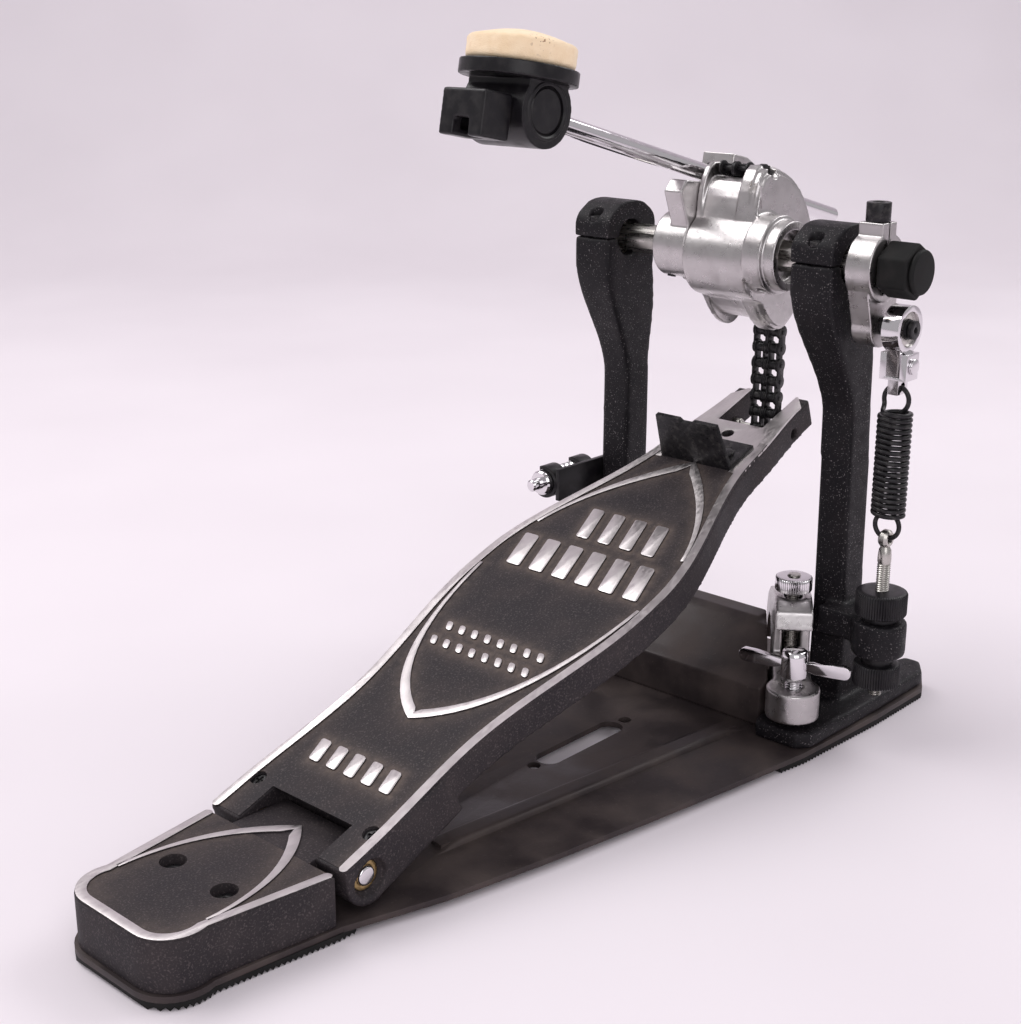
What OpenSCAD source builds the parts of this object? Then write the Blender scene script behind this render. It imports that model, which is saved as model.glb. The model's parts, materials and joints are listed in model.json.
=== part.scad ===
// Bass drum pedal: a cast footboard on a rear hinge pulls a duplex roller chain, which turns a cam
// on a hexagonal drive shaft and swings the beater; a side spring brings it back.
// Frame: +X towards the drum, +Y to the player's left, +Z up. The origin is on the floor, in the
// footboard's middle plane, straight below the drive shaft. The pose is the pedal at rest.

/* [Frame] */
// Height of the drive shaft above the floor
shaft_z = 216; // [212:1:220]
// Distance of each post's middle from the middle plane
post_y = 60; // [60:0.5:61]
// Thickness of a post across the shaft
post_t = 21; // [21:0.5:22]
// Across-flats size of the hexagonal drive shaft
hex_af = 12; // [11:0.5:12]
// Thickness of the steel base plate
plate_t = 2.5; // [2:0.5:2.5]
// Thickness of the rubber feet under the base plate
sole_t = 3; // [2.5:0.5:3]

/* [Footboard] */
// Slope of the footboard at rest, in degrees
board_slope = 19.5; // [19:0.25:20]
// Length of the footboard along its slope
board_l = 339; // [335:1:340]
// Thickness of the footboard's top wall
board_wall = 6; // [5:0.5:6]
// Depth of the footboard's side walls
board_depth = 14; // [13:0.5:14]

/* [Chain and cam] */
// Chain pitch
pitch = 8; // [8:1:8]
// Links between the toe bolt and the cam at rest
free_links = 11; // [11:2:11]
// Links that leave the cam over a full stroke
stroke_links = 6; // [6:1:6]
// Radius of the chain's line round the cam
cam_r = 38; // [37.5:0.25:38.5]
// Direction in which the cam's middle is offset from the shaft, in degrees
cam_turn = -45; // [-46:1:-42]
// Sideways distance between the two rows of rollers
row_pitch = 7.6; // [7.6:0.1:7.6]
// Sideways place of the chain's middle
chain_y = -4; // [-4.5:0.5:-3.5]

/* [Beater] */
// Angle of the beater rod back from vertical at rest
rod_tilt = 75; // [72:0.5:76]
// Diameter of the beater rod
rod_d = 8; // [8:0.5:8]
// Distance of the beater rod from the shaft axis
rod_off = 33; // [32:0.5:33]
// Sideways place of the beater rod
rod_y = 16; // [15.5:0.5:16.5]
// Distance from the shaft's level to the beater head's swivel, along the rod
head_u = 130; // [122:1:135]
// Diameter of the felt pad
pad_d = 44; // [40:1:46]

/* [Return spring] */
// Length of the lever that stretches the spring
rocker_r = 25; // [24:0.5:25]
// Outer diameter of the spring
spring_d = 16; // [14:0.5:16]
// Number of coils
coils = 19; // [15:1:20]
// Sideways place of the spring
spring_y = -94; // [-94.5:0.5:-93.5]

/* [Hidden] */

$fn = 48;
fit = 0.05;                      // radial clearance of a running fit
gap = 0.3;                       // clearance between pieces that move past each other
plate_top = sole_t + plate_t;
heel_top = 25.5;
heel_front = -270;
hinge = [-254, 19];              // x and z of the footboard's hinge pin
hinge_r = 4;
ear_r = 11;
ear_in = 22.5;                   // inner face of each footboard ear
board_x = -267;                  // lower end of the footboard's top face
board_z = 26;
slot_w = 26;                     // width of the fork at the toe
toe_s = 322;                     // toe bolt, along the board
toe_depth = 9.5;                 // and below its top face
hex_gap = 0.03;                  // clearance of the hubs on the hexagonal shaft
journal_r = hex_af / 2;          // radius of the shaft's round ends

// --- shapes in the vertical X-Z plane ---------------------------------------------------------
// Extrudes a shape drawn in X-Z from y0 to y1
module slab(y0, y1) {
    translate([0, y1, 0]) rotate([90, 0, 0]) linear_extrude(y1 - y0) children();
}
// Round bar along Y
module bar(x, z, r, y0, y1) {
    translate([x, y1, z]) rotate([90, 0, 0]) cylinder(r = r, h = y1 - y0);
}
// Hexagonal bar along Y, given its size across flats
module hex_bar(x, z, af, y0, y1) {
    translate([x, y1, z]) rotate([90, 0, 0]) rotate([0, 0, 30])
        cylinder(r = af / sqrt(3), h = y1 - y0, $fn = 6);
}
function polar(r, a) = [r * cos(a), r * sin(a)];
function arc(c, r, a0, a1, n) = [for (i = [0 : n]) c + polar(r, a0 + (a1 - a0) * i / n)];
function reverse(p) = [for (i = [len(p) - 1 : -1 : 0]) p[i]];
function mirrored(p) = [for (i = [len(p) - 1 : -1 : 0]) [p[i][0], -p[i][1]]];
module both_sides() {
    children();
    mirror([0, 1, 0]) children();
}

// --- kinematics -------------------------------------------------------------------------------
toe = [board_x + toe_s * cos(board_slope) + toe_depth * sin(board_slope),
       board_z + toe_s * sin(board_slope) - toe_depth * cos(board_slope)];
strand_l = free_links * pitch;
// The cam is eccentric: its middle is offset just far enough for the straight strand to touch it
to_toe = toe - [0, shaft_z];
along = to_toe * polar(1, cam_turn);
cam_offset = along - sqrt(pow(along, 2) - to_toe * to_toe + pow(cam_r, 2) + pow(strand_l, 2));
cam_c = [0, shaft_z] + polar(cam_offset, cam_turn);
lean = asin(cam_r / norm(toe - cam_c)) - atan((toe[0] - cam_c[0]) / (cam_c[1] - toe[1]));
link_a = 2 * asin(pitch / 2 / cam_r);                         // angle of one link on the cam
// Pin k of the chain: along the strand, then around the cam
function pin(k) = k <= free_links
    ? toe + k * pitch * [sin(lean), cos(lean)]
    : cam_c + polar(cam_r, -lean + (k - free_links) * link_a);

// --- base -------------------------------------------------------------------------------------
heel_w = 37;
heel_corner = [-325, 15];
heel_round = 15.5;
// Side of the heel outline at distance x, widened by a lip
module heel_outline(lip, front) {
    a = 72;
    side = heel_corner + polar(heel_round + lip, a);
    polygon(concat(
        [[front, heel_w + lip], side],
        arc(heel_corner, heel_round + lip, a, 180, 10),
        mirrored(arc(heel_corner, heel_round + lip, a, 180, 10)),
        [[front, -heel_w - lip]]));
}
// Side edge of the base plate, from the heel to the front
base_side = [[-268, 38.5], [-228, 51], [-180, 61], [-129, 70], [-80, 78], [-37, 84], [20, 87],
    [62, 87], [76, 79]];
module base_outline() {
    front = [[76, 58], [64, 46]];
    polygon(concat(base_side, front, mirrored(concat(base_side, front))));
    heel_outline(1.5, -267);
}
slot_x = [-117, -75];
slot_y = -4;
slot_r = 6;
hole_x = [-127, -64];
heel_screw_x = -302;
heel_screw_y = [-15, 15];
module base_plate() {
    color([0.13, 0.12, 0.11]) difference() {
        union() {
            translate([0, 0, sole_t]) linear_extrude(plate_t) base_outline();
            // pressed ribs that spread towards the front
            both_sides() translate([-205, 19, plate_top - 0.5]) rotate([0, 0, 7.5])
                cube([170, 7, 2.5]);
        }
        linear_extrude(20) {
            for (x = slot_x) translate([x, slot_y]) circle(slot_r);
            translate([slot_x[0], slot_y - slot_r]) square([slot_x[1] - slot_x[0], 2 * slot_r]);
        }
        for (x = hole_x) translate([x, slot_y, 0]) cylinder(r = 3, h = 20);
        for (y = heel_screw_y) translate([heel_screw_x, y, 0]) cylinder(r = 2.55, h = 20);
    }
}
module rubber_feet() {
    color([0.05, 0.05, 0.05]) {
        difference() {
            linear_extrude(sole_t) heel_outline(1.5, -262);
            translate([-325, -20, -1]) cube([60, 40, 1.8]);
        }
        both_sides() linear_extrude(sole_t)
            polygon([[-52, 60], [-52, 81.5], [-37, 84], [20, 87], [62, 87], [76, 79], [76, 60]]);
        translate([-12, -34, 0]) cube([74, 68, sole_t]);
    }
}
tongue_w = 44;
module heel_block() {
    color([0.10, 0.10, 0.10]) difference() {
        union() {
            translate([0, 0, plate_top]) linear_extrude(heel_top - plate_top)
                heel_outline(0, heel_front);
            translate([heel_front - 1, -tongue_w / 2, plate_top + 3])
                cube([27.5, tongue_w, heel_top - plate_top - 3]);
            bar(hinge[0], hinge[1], 6.4, -tongue_w / 2, tongue_w / 2);
        }
        bar(hinge[0], hinge[1], hinge_r + 0.02, -40, 40);
        for (y = heel_screw_y) {
            translate([heel_screw_x, y, 0]) cylinder(r = 2.6, h = 40);
            translate([heel_screw_x, y, heel_top - 7]) cylinder(r = 5, h = 20);
        }
        // room behind the footboard's ears
        both_sides() translate([hinge[0], 60, hinge[1]]) rotate([90, 0, 0])
            cylinder(r = ear_r + 1.5, h = 60 - tongue_w / 2 - 0.01);
    }
}
module heel_screws() {
    color([0.16, 0.16, 0.17]) for (y = heel_screw_y) translate([heel_screw_x, y, 0]) difference() {
        union() {
            translate([0, 0, sole_t]) cylinder(r = 2.5, h = 17);
            translate([0, 0, heel_top - 7]) cylinder(r = 4.6, h = 3.5);
        }
        translate([0, 0, heel_top - 5.5]) cylinder(r = 2.2, h = 4, $fn = 6);
    }
}
module hinge_pin() {
    color([0.75, 0.75, 0.76]) {
        bar(hinge[0], hinge[1], hinge_r, -36.5, 36.5);
    }
}
module hinge_bushes() {
    color([0.62, 0.5, 0.26]) both_sides() difference() {
        bar(hinge[0], hinge[1], 6, ear_in, 35);
        bar(hinge[0], hinge[1], hinge_r + fit, 0, 50);
    }
}

// --- footboard --------------------------------------------------------------------------------
// Everything on the board is drawn flat: s along it, y across, z out of its top face
module on_board() {
    translate([board_x, 0, board_z]) rotate([0, -board_slope, 0]) children();
}
// Half width at s: the waist near the hinge, the broad hood, and the neck at the toe
function smooth(t) = t * t * (3 - 2 * t);
function ramp(s, a, b) = smooth(min(1, max(0, (s - a) / (b - a))));
function half_w(s) = 39 - 2.3 * ramp(s, 15, 68) + 13.3 * ramp(s, 70, 168)
    - 24.5 * ramp(s, 178, 288) - 5 * ramp(s, 280, 334);
board_step = 10;
function board_side(inset, s0, s1) =
    [for (i = [0 : ceil((s1 - s0) / board_step)])
        let (s = min(s1, s0 + i * board_step)) [s, half_w(s) - inset]];
module board_outline(inset, s0, s1) {
    side = board_side(inset, s0, s1);
    polygon(concat(side, mirrored(side)));
}
module footboard() {
    tip = board_l;
    color([0.11, 0.11, 0.11]) difference() {
        union() {
            on_board() {
                translate([0, 0, -board_wall]) linear_extrude(board_wall)
                    board_outline(0, 0, tip);
                difference() {
                    translate([0, 0, -board_depth]) linear_extrude(board_depth - board_wall + 1)
                        board_outline(0, 12, tip);
                    translate([0, 0, -board_depth - 1]) linear_extrude(board_depth)
                        board_outline(5, 40, 296);
                }
                // stiffening ribs under the top wall
                for (s = [90, 160, 230]) translate([s, -30, -board_depth + 2])
                    cube([4, 60, board_depth - board_wall]);
            }
            // ears that carry the hinge
            both_sides() slab(ear_in, 38.5) {
                translate(hinge) circle(ear_r);
                polygon([[hinge[0] - ear_r, hinge[1]], [board_x, board_z],
                    [board_x + 50, board_z + 50 * tan(board_slope)],
                    [board_x + 62, hinge[1] + 9], [hinge[0] + 4, hinge[1] - 10]]);
            }
        }
        // notch for the heel block's tongue
        translate([-300, -ear_in, 0]) cube([300 - 241 + 0.5, 2 * ear_in, 60]);
        bar(hinge[0], hinge[1], 6, -60, 60);
        both_sides() bar(hinge[0], hinge[1], 7.5, 35.5, 60);
        on_board() {
            // fork for the chain
            translate([tip - 30, -slot_w / 2, -20]) cube([40, slot_w, 40]);
            translate([toe_s, -40, -toe_depth]) rotate([-90, 0, 0])
                cylinder(r = 2.5, h = 80);
            // hole beside the toe stop, and pilot holes
            translate([299, 0, -20]) cylinder(r = 3, h = 40);
            both_sides() translate([20, 32.5, -4]) cylinder(r = 3.4, h = 10);
            both_sides() translate([20, 32.5, -8]) cylinder(r = 1.5, h = 10);
            both_sides() translate([281, 12, -20]) cylinder(r = 2, h = 40);
            // chamfered corners at the toe
            both_sides() translate([tip, 14, -30]) rotate([0, 0, -45])
                cube([20, 20, 60]);
        }
    }
}
module footboard_fasteners() {
    toe_stop_rivets();
    color([0.14, 0.14, 0.15]) on_board() both_sides() translate([20, 32.5, -4]) difference() {
        union() {
            cylinder(r = 3.3, h = 3);
            translate([0, 0, -3.9]) cylinder(r = 1.45, h = 4);
        }
        translate([-2, -0.4, 2]) cube([4, 0.8, 2]);
        translate([-0.4, -2, 2]) cube([0.8, 4, 2]);
    }
}
module toe_stop() {
    foot = 20;
    color([0.12, 0.12, 0.12]) on_board() translate([272, 0, 0]) difference() {
        union() {
            translate([0, -19.5, 0.02]) cube([foot, 39, 2]);
            rotate([0, -3, 0]) intersection() {
                translate([0, -19.5, 0.02]) cube([2.2, 39, 24]);
                translate([-5, 0, 0]) rotate([90, 0, 90]) linear_extrude(20)
                    polygon([[-19.5, 0], [19.5, 0], [17, 24], [4, 24], [2.5, 22.6], [-2.5, 22.6],
                        [-4, 24], [-17, 24]]);
            }
        }
        both_sides() translate([9, 12, -1]) cylinder(r = 2, h = 10);
    }
}
module toe_stop_rivets() {
    color([0.2, 0.2, 0.2]) on_board() both_sides() translate([281, 12, 0]) {
        translate([0, 0, -board_wall]) cylinder(r = 1.95, h = board_wall + 2.1);
        translate([0, 0, 2.05]) cylinder(r = 3.4, h = 1.4);
    }
}
module toe_bolt() {
    color([0.45, 0.45, 0.46]) {
        bar(toe[0], toe[1], pin_r, -16.5, 16.5);
        bar(toe[0], toe[1], 2.45, -16.5, chain_y - 7.6);
        bar(toe[0], toe[1], 2.45, 9.5, 16.5);
    }
}

// --- chain ------------------------------------------------------------------------------------
plate_h = 6.6;
roller_r = 2.5;
pin_r = 1.15;
leaf = 0.8;                      // thickness of a link plate
inner_y = 1.9;                   // inner face of an inner plate from its roller's middle
// Link plate between two points, as a figure of eight with a waist
module link_plate(a, b, y0) {
    d = b - a;
    translate([a[0], y0 + leaf, a[1]]) rotate([90, -atan2(d[1], d[0]), 0]) linear_extrude(leaf) {
        circle(plate_h / 2);
        translate([norm(d), 0]) circle(plate_h / 2);
        translate([0, -2.4]) square([norm(d), 4.8]);
    }
}
rows = [chain_y - row_pitch / 2, chain_y + row_pitch / 2];
module inner_link(k) {
    a = pin(k - 1);
    b = pin(k);
    difference() {
        for (y = rows) {
            link_plate(a, b, y - inner_y - leaf);
            link_plate(a, b, y + inner_y);
            for (p = [a, b]) bar(p[0], p[1], roller_r, y - inner_y - 0.1, y + inner_y + 0.1);
        }
        for (p = [a, b]) bar(p[0], p[1], pin_r + fit, chain_y - 20, chain_y + 20);
    }
}
module outer_link(k, pinned) {
    a = pin(k - 1);
    b = pin(k);
    far = row_pitch / 2 + inner_y + leaf + 0.15;
    near = row_pitch / 2 - inner_y - leaf - 0.15;
    for (p = pinned) bar(p[0], p[1], pin_r, chain_y - far - 1.3, chain_y + far + 1.3);
    link_plate(a, b, chain_y + far);
    link_plate(a, b, chain_y - far - leaf);
    link_plate(a, b, chain_y + min(near - leaf, 0.05));
    link_plate(a, b, chain_y - min(near - leaf, 0.05) - leaf);
}
chain_black = [0.10, 0.10, 0.11];
module chain_strand_outer() {
    color(chain_black) for (k = [2 : 2 : free_links])
        outer_link(k, [pin(k - 1), pin(k)]);
}
module chain_strand_inner() {
    color(chain_black) for (k = [1 : 2 : free_links]) inner_link(k);
}
module chain_link(k) {
    color(chain_black) if (k % 2 == 0) outer_link(k, [pin(k - 1), pin(k)]); else inner_link(k);
}
tail = free_links + stroke_links + 1;
anchor = pin(tail);
// Connecting link, bored at the cam's end for the anchor screw
module chain_tail() {
    color(chain_black) difference() {
        outer_link(tail, [pin(tail - 1)]);
        bar(anchor[0], anchor[1], pin_r + fit, chain_y - 20, chain_y + 20);
    }
}

// --- posts and bearings -----------------------------------------------------------------------
cap_split = shaft_z + 0.5;
cap_screw_x = [-13, 15];
cap_rear = -16.6;                // rear and front of a post's head
cap_front = 18.6;
neck = 62;                       // height over which the head narrows to the column
head_low = shaft_z - 9;          // lower edge of a post's head
foot_top = 13;                   // top of a post's foot
screw_foot = shaft_z - 14;       // lower end of the cap screws
column_y = [-5, 11];             // faces of the column from the post's middle
module post_profile() {
    // rear edge sweeps forward below the head, front edge stays nearly straight
    polygon(concat([[cap_rear, cap_split]],
        [for (i = [0 : 12]) let (t = i / 12)
            [cap_rear + 23.6 * smooth(t), head_low - neck * t]],
        [[8, 60], [8, 30], [8, foot_top], [42, foot_top], [30, 24], [26, 42], [25, 120], [23, 180],
            [cap_front, shaft_z - 14], [cap_front, cap_split]]));
}
// Side face of the post seen from the front: side -1 faces the footboard, 1 faces out;
// column is the place of that face on the column, from the post's middle
function post_side(side, column) = [for (i = [0 : 12]) let (t = i / 12)
    [post_y + side * post_t / 2 + (column - side * post_t / 2) * smooth(t), head_low - neck * t]];
foot_outline = [[-38, 58], [-38, 79], [-32, 84], [20, 85.5], [64, 85.5], [75, 78], [75, 70],
    [36, 57], [-32, 55]];
module post_body() {
    difference() {
        union() {
            intersection() {
                slab(post_y - 13, post_y + 13) post_profile();
                // narrower across the shaft below the head
                rotate([90, 0, 90]) translate([0, 0, -60]) linear_extrude(140)
                    polygon(concat([[post_y - post_t / 2, 240]], post_side(-1, column_y[0]),
                        [[post_y - 4, 60], [post_y - 5, 12], [post_y + 14, 12], [post_y + 12, 60]],
                        reverse(post_side(1, column_y[1])), [[post_y + post_t / 2, 240]]));
            }
            translate([0, 0, plate_top]) linear_extrude(foot_top - plate_top)
                polygon(foot_outline);
        }
        bearing_seat();
        for (x = cap_screw_x) translate([x, post_y, screw_foot]) cylinder(r = 1.6, h = 20);
    }
}
bearing_r = 10.7;
bearing_w = 8;
module bearing_seat() {
    bar(0, shaft_z, bearing_r + 0.01, post_y - bearing_w / 2, post_y + bearing_w / 2);
    bar(0, shaft_z, 8.5, post_y - 20, post_y + 20);
}
module post_cap() {
    difference() {
        slab(post_y - post_t / 2, post_y + post_t / 2)
            polygon(concat([[cap_front, cap_split + 0.02]],
                arc([cap_front - 9, shaft_z + 5], 9, 0, 55, 6), arc([1, shaft_z - 12], 29, 72, 106, 8),
                arc([cap_rear + 9, shaft_z + 5], 9, 118, 180, 6), [[cap_rear, cap_split + 0.02]]));
        bearing_seat();
        for (x = cap_screw_x) translate([x, post_y, screw_foot]) {
            cylinder(r = 1.9, h = 60);
            translate([0, 0, 21.5]) cylinder(r = 3.1, h = 20);
        }
    }
}
lug_z = [44, 60];
module left_post() {
    color([0.09, 0.09, 0.10]) post_body();
}
module right_post() {
    bolt_x = 3;
    color([0.09, 0.09, 0.10]) difference() {
        union() {
            mirror([0, 1, 0]) post_body();
            // lug that carries the spring's eye bolt
            translate([bolt_x, spring_y, lug_z[0]]) cylinder(r = 12, h = lug_z[1] - lug_z[0]);
            translate([bolt_x - 4, spring_y, lug_z[0] + 3]) cube([22, 30, lug_z[1] - lug_z[0] - 3]);
        }
        translate([bolt_x, spring_y, 0]) cylinder(r = 3.02, h = 100);
    }
}
module left_cap() {
    color([0.09, 0.09, 0.10]) post_cap();
}
module right_cap() {
    color([0.09, 0.09, 0.10]) mirror([0, 1, 0]) post_cap();
}
module cap_screws() {
    color([0.13, 0.13, 0.14]) both_sides() for (x = cap_screw_x)
        translate([x, post_y, screw_foot]) difference() {
            union() {
                cylinder(r = 1.55, h = 22);
                translate([0, 0, 21.55]) cylinder(r = 3, h = 2.6);
            }
            translate([0, 0, 22.6]) cylinder(r = 1.4, h = 3, $fn = 6);
        }
}
race_in = 8.1;
race_out = 9.4;
ball_r = 1.4;
ball_ring = (race_in + race_out) / 2;
module bearing_groove() {
    rotate_extrude() translate([ball_ring, 0]) circle(ball_r + fit);
}
module at_bearings() {
    both_sides() translate([0, post_y, shaft_z]) rotate([90, 0, 0]) children();
}
module bearing_outer_rings() {
    color([0.6, 0.6, 0.62]) at_bearings() difference() {
        cylinder(r = bearing_r, h = bearing_w, center = true);
        cylinder(r = race_out, h = 20, center = true);
        bearing_groove();
    }
}
module bearing_inner_rings() {
    color([0.6, 0.6, 0.62]) at_bearings() difference() {
        cylinder(r = race_in, h = bearing_w, center = true);
        cylinder(r = journal_r + 0.01, h = 20, center = true);
        bearing_groove();
    }
}
module bearing_balls() {
    color([0.8, 0.8, 0.8]) at_bearings() for (i = [0 : 8])
        rotate([0, 0, i * 40]) translate([ball_ring, 0, 0]) sphere(ball_r);
}

// --- drive shaft and cam ----------------------------------------------------------------------
shaft_right = -88;
module drive_shaft() {
    color([0.55, 0.54, 0.52]) {
        hex_bar(0, shaft_z, hex_af, -post_y + 12.5, post_y - 12.5);
        bar(0, shaft_z, journal_r, shaft_right, post_y + 10);
    }
}
cam_in = [chain_y - 10, chain_y + 8.6];
flange_r = cam_r + 2.5;
floor_r = cam_r - 3.8;
cam_from = -58;                  // arc of the cam's rim that carries chain, in degrees
cam_to = 89;
cam_hub = 19;                    // reach of the cam away from that arc
cam_face = -25;                  // right face of the cam
cam_end = -40.5;                 // right end of its bosses
// The cam is broad along the chain's arc and falls away to the hub elsewhere
function cam_reach(r, a) = cam_hub + (r - cam_hub) * ramp(a, cam_from - 44, cam_from)
    * (1 - ramp(a, cam_to, cam_to + 34));
module cam_sector(r) {
    polygon([for (a = [-170 : 5 : 185]) polar(cam_reach(r, a), a)]);
}
set_screw_y = cam_face - 6;
module chain_cam() {
    color([0.80, 0.80, 0.81]) translate([0, 0, shaft_z]) difference() {
        union() {
            translate([cam_c[0], 0, cam_c[1] - shaft_z]) {
                slab(cam_in[0], cam_in[1]) cam_sector(floor_r);
                slab(cam_face + 5, cam_in[0]) cam_sector(flange_r);
                slab(cam_face + 2, cam_face + 5) cam_sector(flange_r - 1.2);
                slab(cam_face, cam_face + 2) cam_sector(flange_r - 3.6);
                slab(cam_in[1], cam_in[1] + 3) cam_sector(flange_r);
            }
            bar(0, 0, 17.5, cam_end + 6, cam_face);
            bar(0, 0, 15.5, cam_end, cam_end + 6);
        }
        hex_bar(0, 0, hex_af + 2 * hex_gap, -60, 60);
        bar(0, 0, 11.5, cam_end - 1, cam_end + 5);
        translate([anchor[0], 0, anchor[1] - shaft_z]) {
            bar(0, 0, pin_r + 0.02, -60, 60);
            bar(0, 0, 3.2, cam_face - 1, chain_y - 13);
            bar(0, 0, roller_r + 1.4, cam_in[0], cam_in[1]);
        }
        translate([0, set_screw_y, 0]) rotate([0, -150, 0]) cylinder(r = 2.5, h = 30);
    }
}
module cam_set_screw() {
    translate([0, set_screw_y, shaft_z]) rotate([0, -150, 0]) difference() {
        translate([0, 0, 7]) cylinder(r = 2.45, h = 8.5);
        translate([0, 0, 13]) cylinder(r = 1.4, h = 10, $fn = 6);
    }
}
// Anchor screw of the chain, set screw of the cam, and the holder's angle screw
module hub_screws() {
    color([0.3, 0.3, 0.3]) {
        bar(anchor[0], anchor[1], pin_r, chain_y - 13, chain_y + 10.5);
        bar(anchor[0], anchor[1], 3, chain_y - 15.5, chain_y - 13);
        cam_set_screw();
        on_beater() translate([holder_screw_x, holder_screw_y, 0]) rotate([0, 90, 0])
            difference() {
                cylinder(r = 1.95, h = 7);
                translate([0, 0, -1]) cylinder(r = 1.2, h = 3, $fn = 6);
            }
    }
}

// --- beater -----------------------------------------------------------------------------------
// Everything on the beater is drawn with its rod upright, at the height of the shaft
module on_beater() {
    translate([0, 0, shaft_z]) rotate([0, -rod_tilt, 0]) children();
}
holder_y = [cam_in[1] + 3.1, 25.5];
block_y = 17.5;                  // left side of the flat block in front of the shaft
insert_z = [-16, -11];           // ends of the black insert along the rod
key_z = -24;                     // place of the key bolt along the rod
holder_screw_x = -15.5;
holder_screw_y = 22;
module beater_holder() {
    color([0.82, 0.82, 0.83]) difference() {
        on_beater() {
            // boss that holds the rod, ahead of the shaft
            slab(holder_y[0], holder_y[1]) {
                circle(15);
                polygon([[44, insert_z[1]], [44.5, -22], [39, -44], [32, -57], [24, -57], [16, -38],
                    [15, -18], [8, -12], [13, 4], [25, insert_z[1] - 1]]);
            }
            // flat block that faces the heel
            slab(holder_y[0], block_y)
                polygon([[20, 24], [26, 21], [30, -12], [14, -18], [-4, -15], [-15, -12], [-16, -3]]);
        }
        translate([0, 0, shaft_z]) hex_bar(0, 0, hex_af + 2 * hex_gap, -60, 60);
        on_beater() {
            translate([rod_off, rod_y, -100]) cylinder(r = rod_d / 2 + fit, h = 140);
            // pocket of the black insert, and the tapped hole of the key bolt
            translate([rod_off - 6, rod_y - 6, insert_z[0]]) cube([12, 12, 20]);
            translate([rod_off, rod_y, key_z]) rotate([0, -90, 0]) cylinder(r = 3, h = 60);
            translate([-30, holder_screw_y, 0]) rotate([0, 90, 0]) cylinder(r = 2, h = 22);
        }
    }
}
module rod_insert() {
    color([0.06, 0.06, 0.06]) on_beater() difference() {
        translate([rod_off - 5.95, rod_y - 5.95, insert_z[0] + 0.05])
            cube([11.9, 11.9, insert_z[1] - insert_z[0]]);
        translate([rod_off, rod_y, -50]) cylinder(r = rod_d / 2 + fit, h = 100);
    }
}
// Key bolt that hangs under the boss and pinches the rod
key_shank = 22;
module rod_key_bolt() {
    color([0.5, 0.49, 0.48]) on_beater() translate([rod_off, rod_y, key_z]) rotate([0, -90, 0]) {
        translate([0, 0, rod_d / 2 + 0.1]) cylinder(r = 2.95, h = key_shank);
        translate([-2.8, -2.8, rod_d / 2 + key_shank]) cube([5.6, 5.6, 8]);
    }
}
rod_low = -118;                  // lower end of the rod, past the holder
module beater_rod() {
    color([0.85, 0.85, 0.86]) on_beater() translate([rod_off, rod_y, rod_low])
        cylinder(r = rod_d / 2, h = head_u + 5 - rod_low);
}
barrel_r = 14.5;
barrel_half = 16.5;
swivel_r = 9.9;
head_tilt = -4;
swivel_range = 12;
// Beater head: u along the rod, v towards the drum, from the swivel in the barrel's middle
module on_head() {
    on_beater() translate([rod_off, rod_y, head_u]) rotate([0, head_tilt, 0]) children();
}
module on_rod_end() {
    on_beater() translate([rod_off, rod_y, head_u]) children();
}
module cross_bar(r, half) {
    translate([0, half, 0]) rotate([90, 0, 0]) cylinder(r = r, h = 2 * half);
}
flange_v = [11, 16.8];
flange_u = 1;
module swivel_barrel() {
    color([0.05, 0.05, 0.05]) on_rod_end() difference() {
        cross_bar(swivel_r, barrel_half - 1.2);
        translate([0, 0, -20]) cylinder(r = rod_d / 2 + 0.01, h = 25.02);
    }
}
module beater_body() {
    slot_v = rod_d + 2 * barrel_r * sin(swivel_range) + 1.2;
    color([0.05, 0.05, 0.05]) difference() {
        on_head() {
            cross_bar(barrel_r, barrel_half);
            rotate([0, 90, 0]) {
                translate([-12, -barrel_half, 0]) cube([23, 2 * barrel_half, flange_v[0] + 1]);
                translate([-flange_u, 0, flange_v[0]])
                    cylinder(r = 24, h = flange_v[1] - flange_v[0]);
            }
        }
        on_head() cross_bar(swivel_r + fit, 40);
        // slot in which the rod swings as the head swivels
        on_rod_end() translate([-slot_v / 2, -rod_d / 2 - 0.5, -30])
            cube([slot_v, rod_d + 1, 30]);
    }
}
module beater_pad() {
    crown = 60;
    color([0.93, 0.76, 0.52]) on_head() rotate([0, 90, 0])
        translate([-flange_u, 0, flange_v[1] + 0.02]) intersection() {
            cylinder(r = pad_d / 2, h = 20);
            translate([0, 0, 13.5 - crown]) sphere(crown, $fn = 96);
        }
}
// Folded steel weight on the back of the head
module head_weight() {
    color([0.07, 0.07, 0.07]) on_head() difference() {
        translate([-14, -11.5, barrel_r + 0.05]) cube([18, 23, 16]);
        translate([-15, -4, barrel_r + 6]) cube([8, 8, 11]);
        translate([-11, -8, barrel_r - 1]) cube([12, 16, 12]);
    }
}

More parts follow.
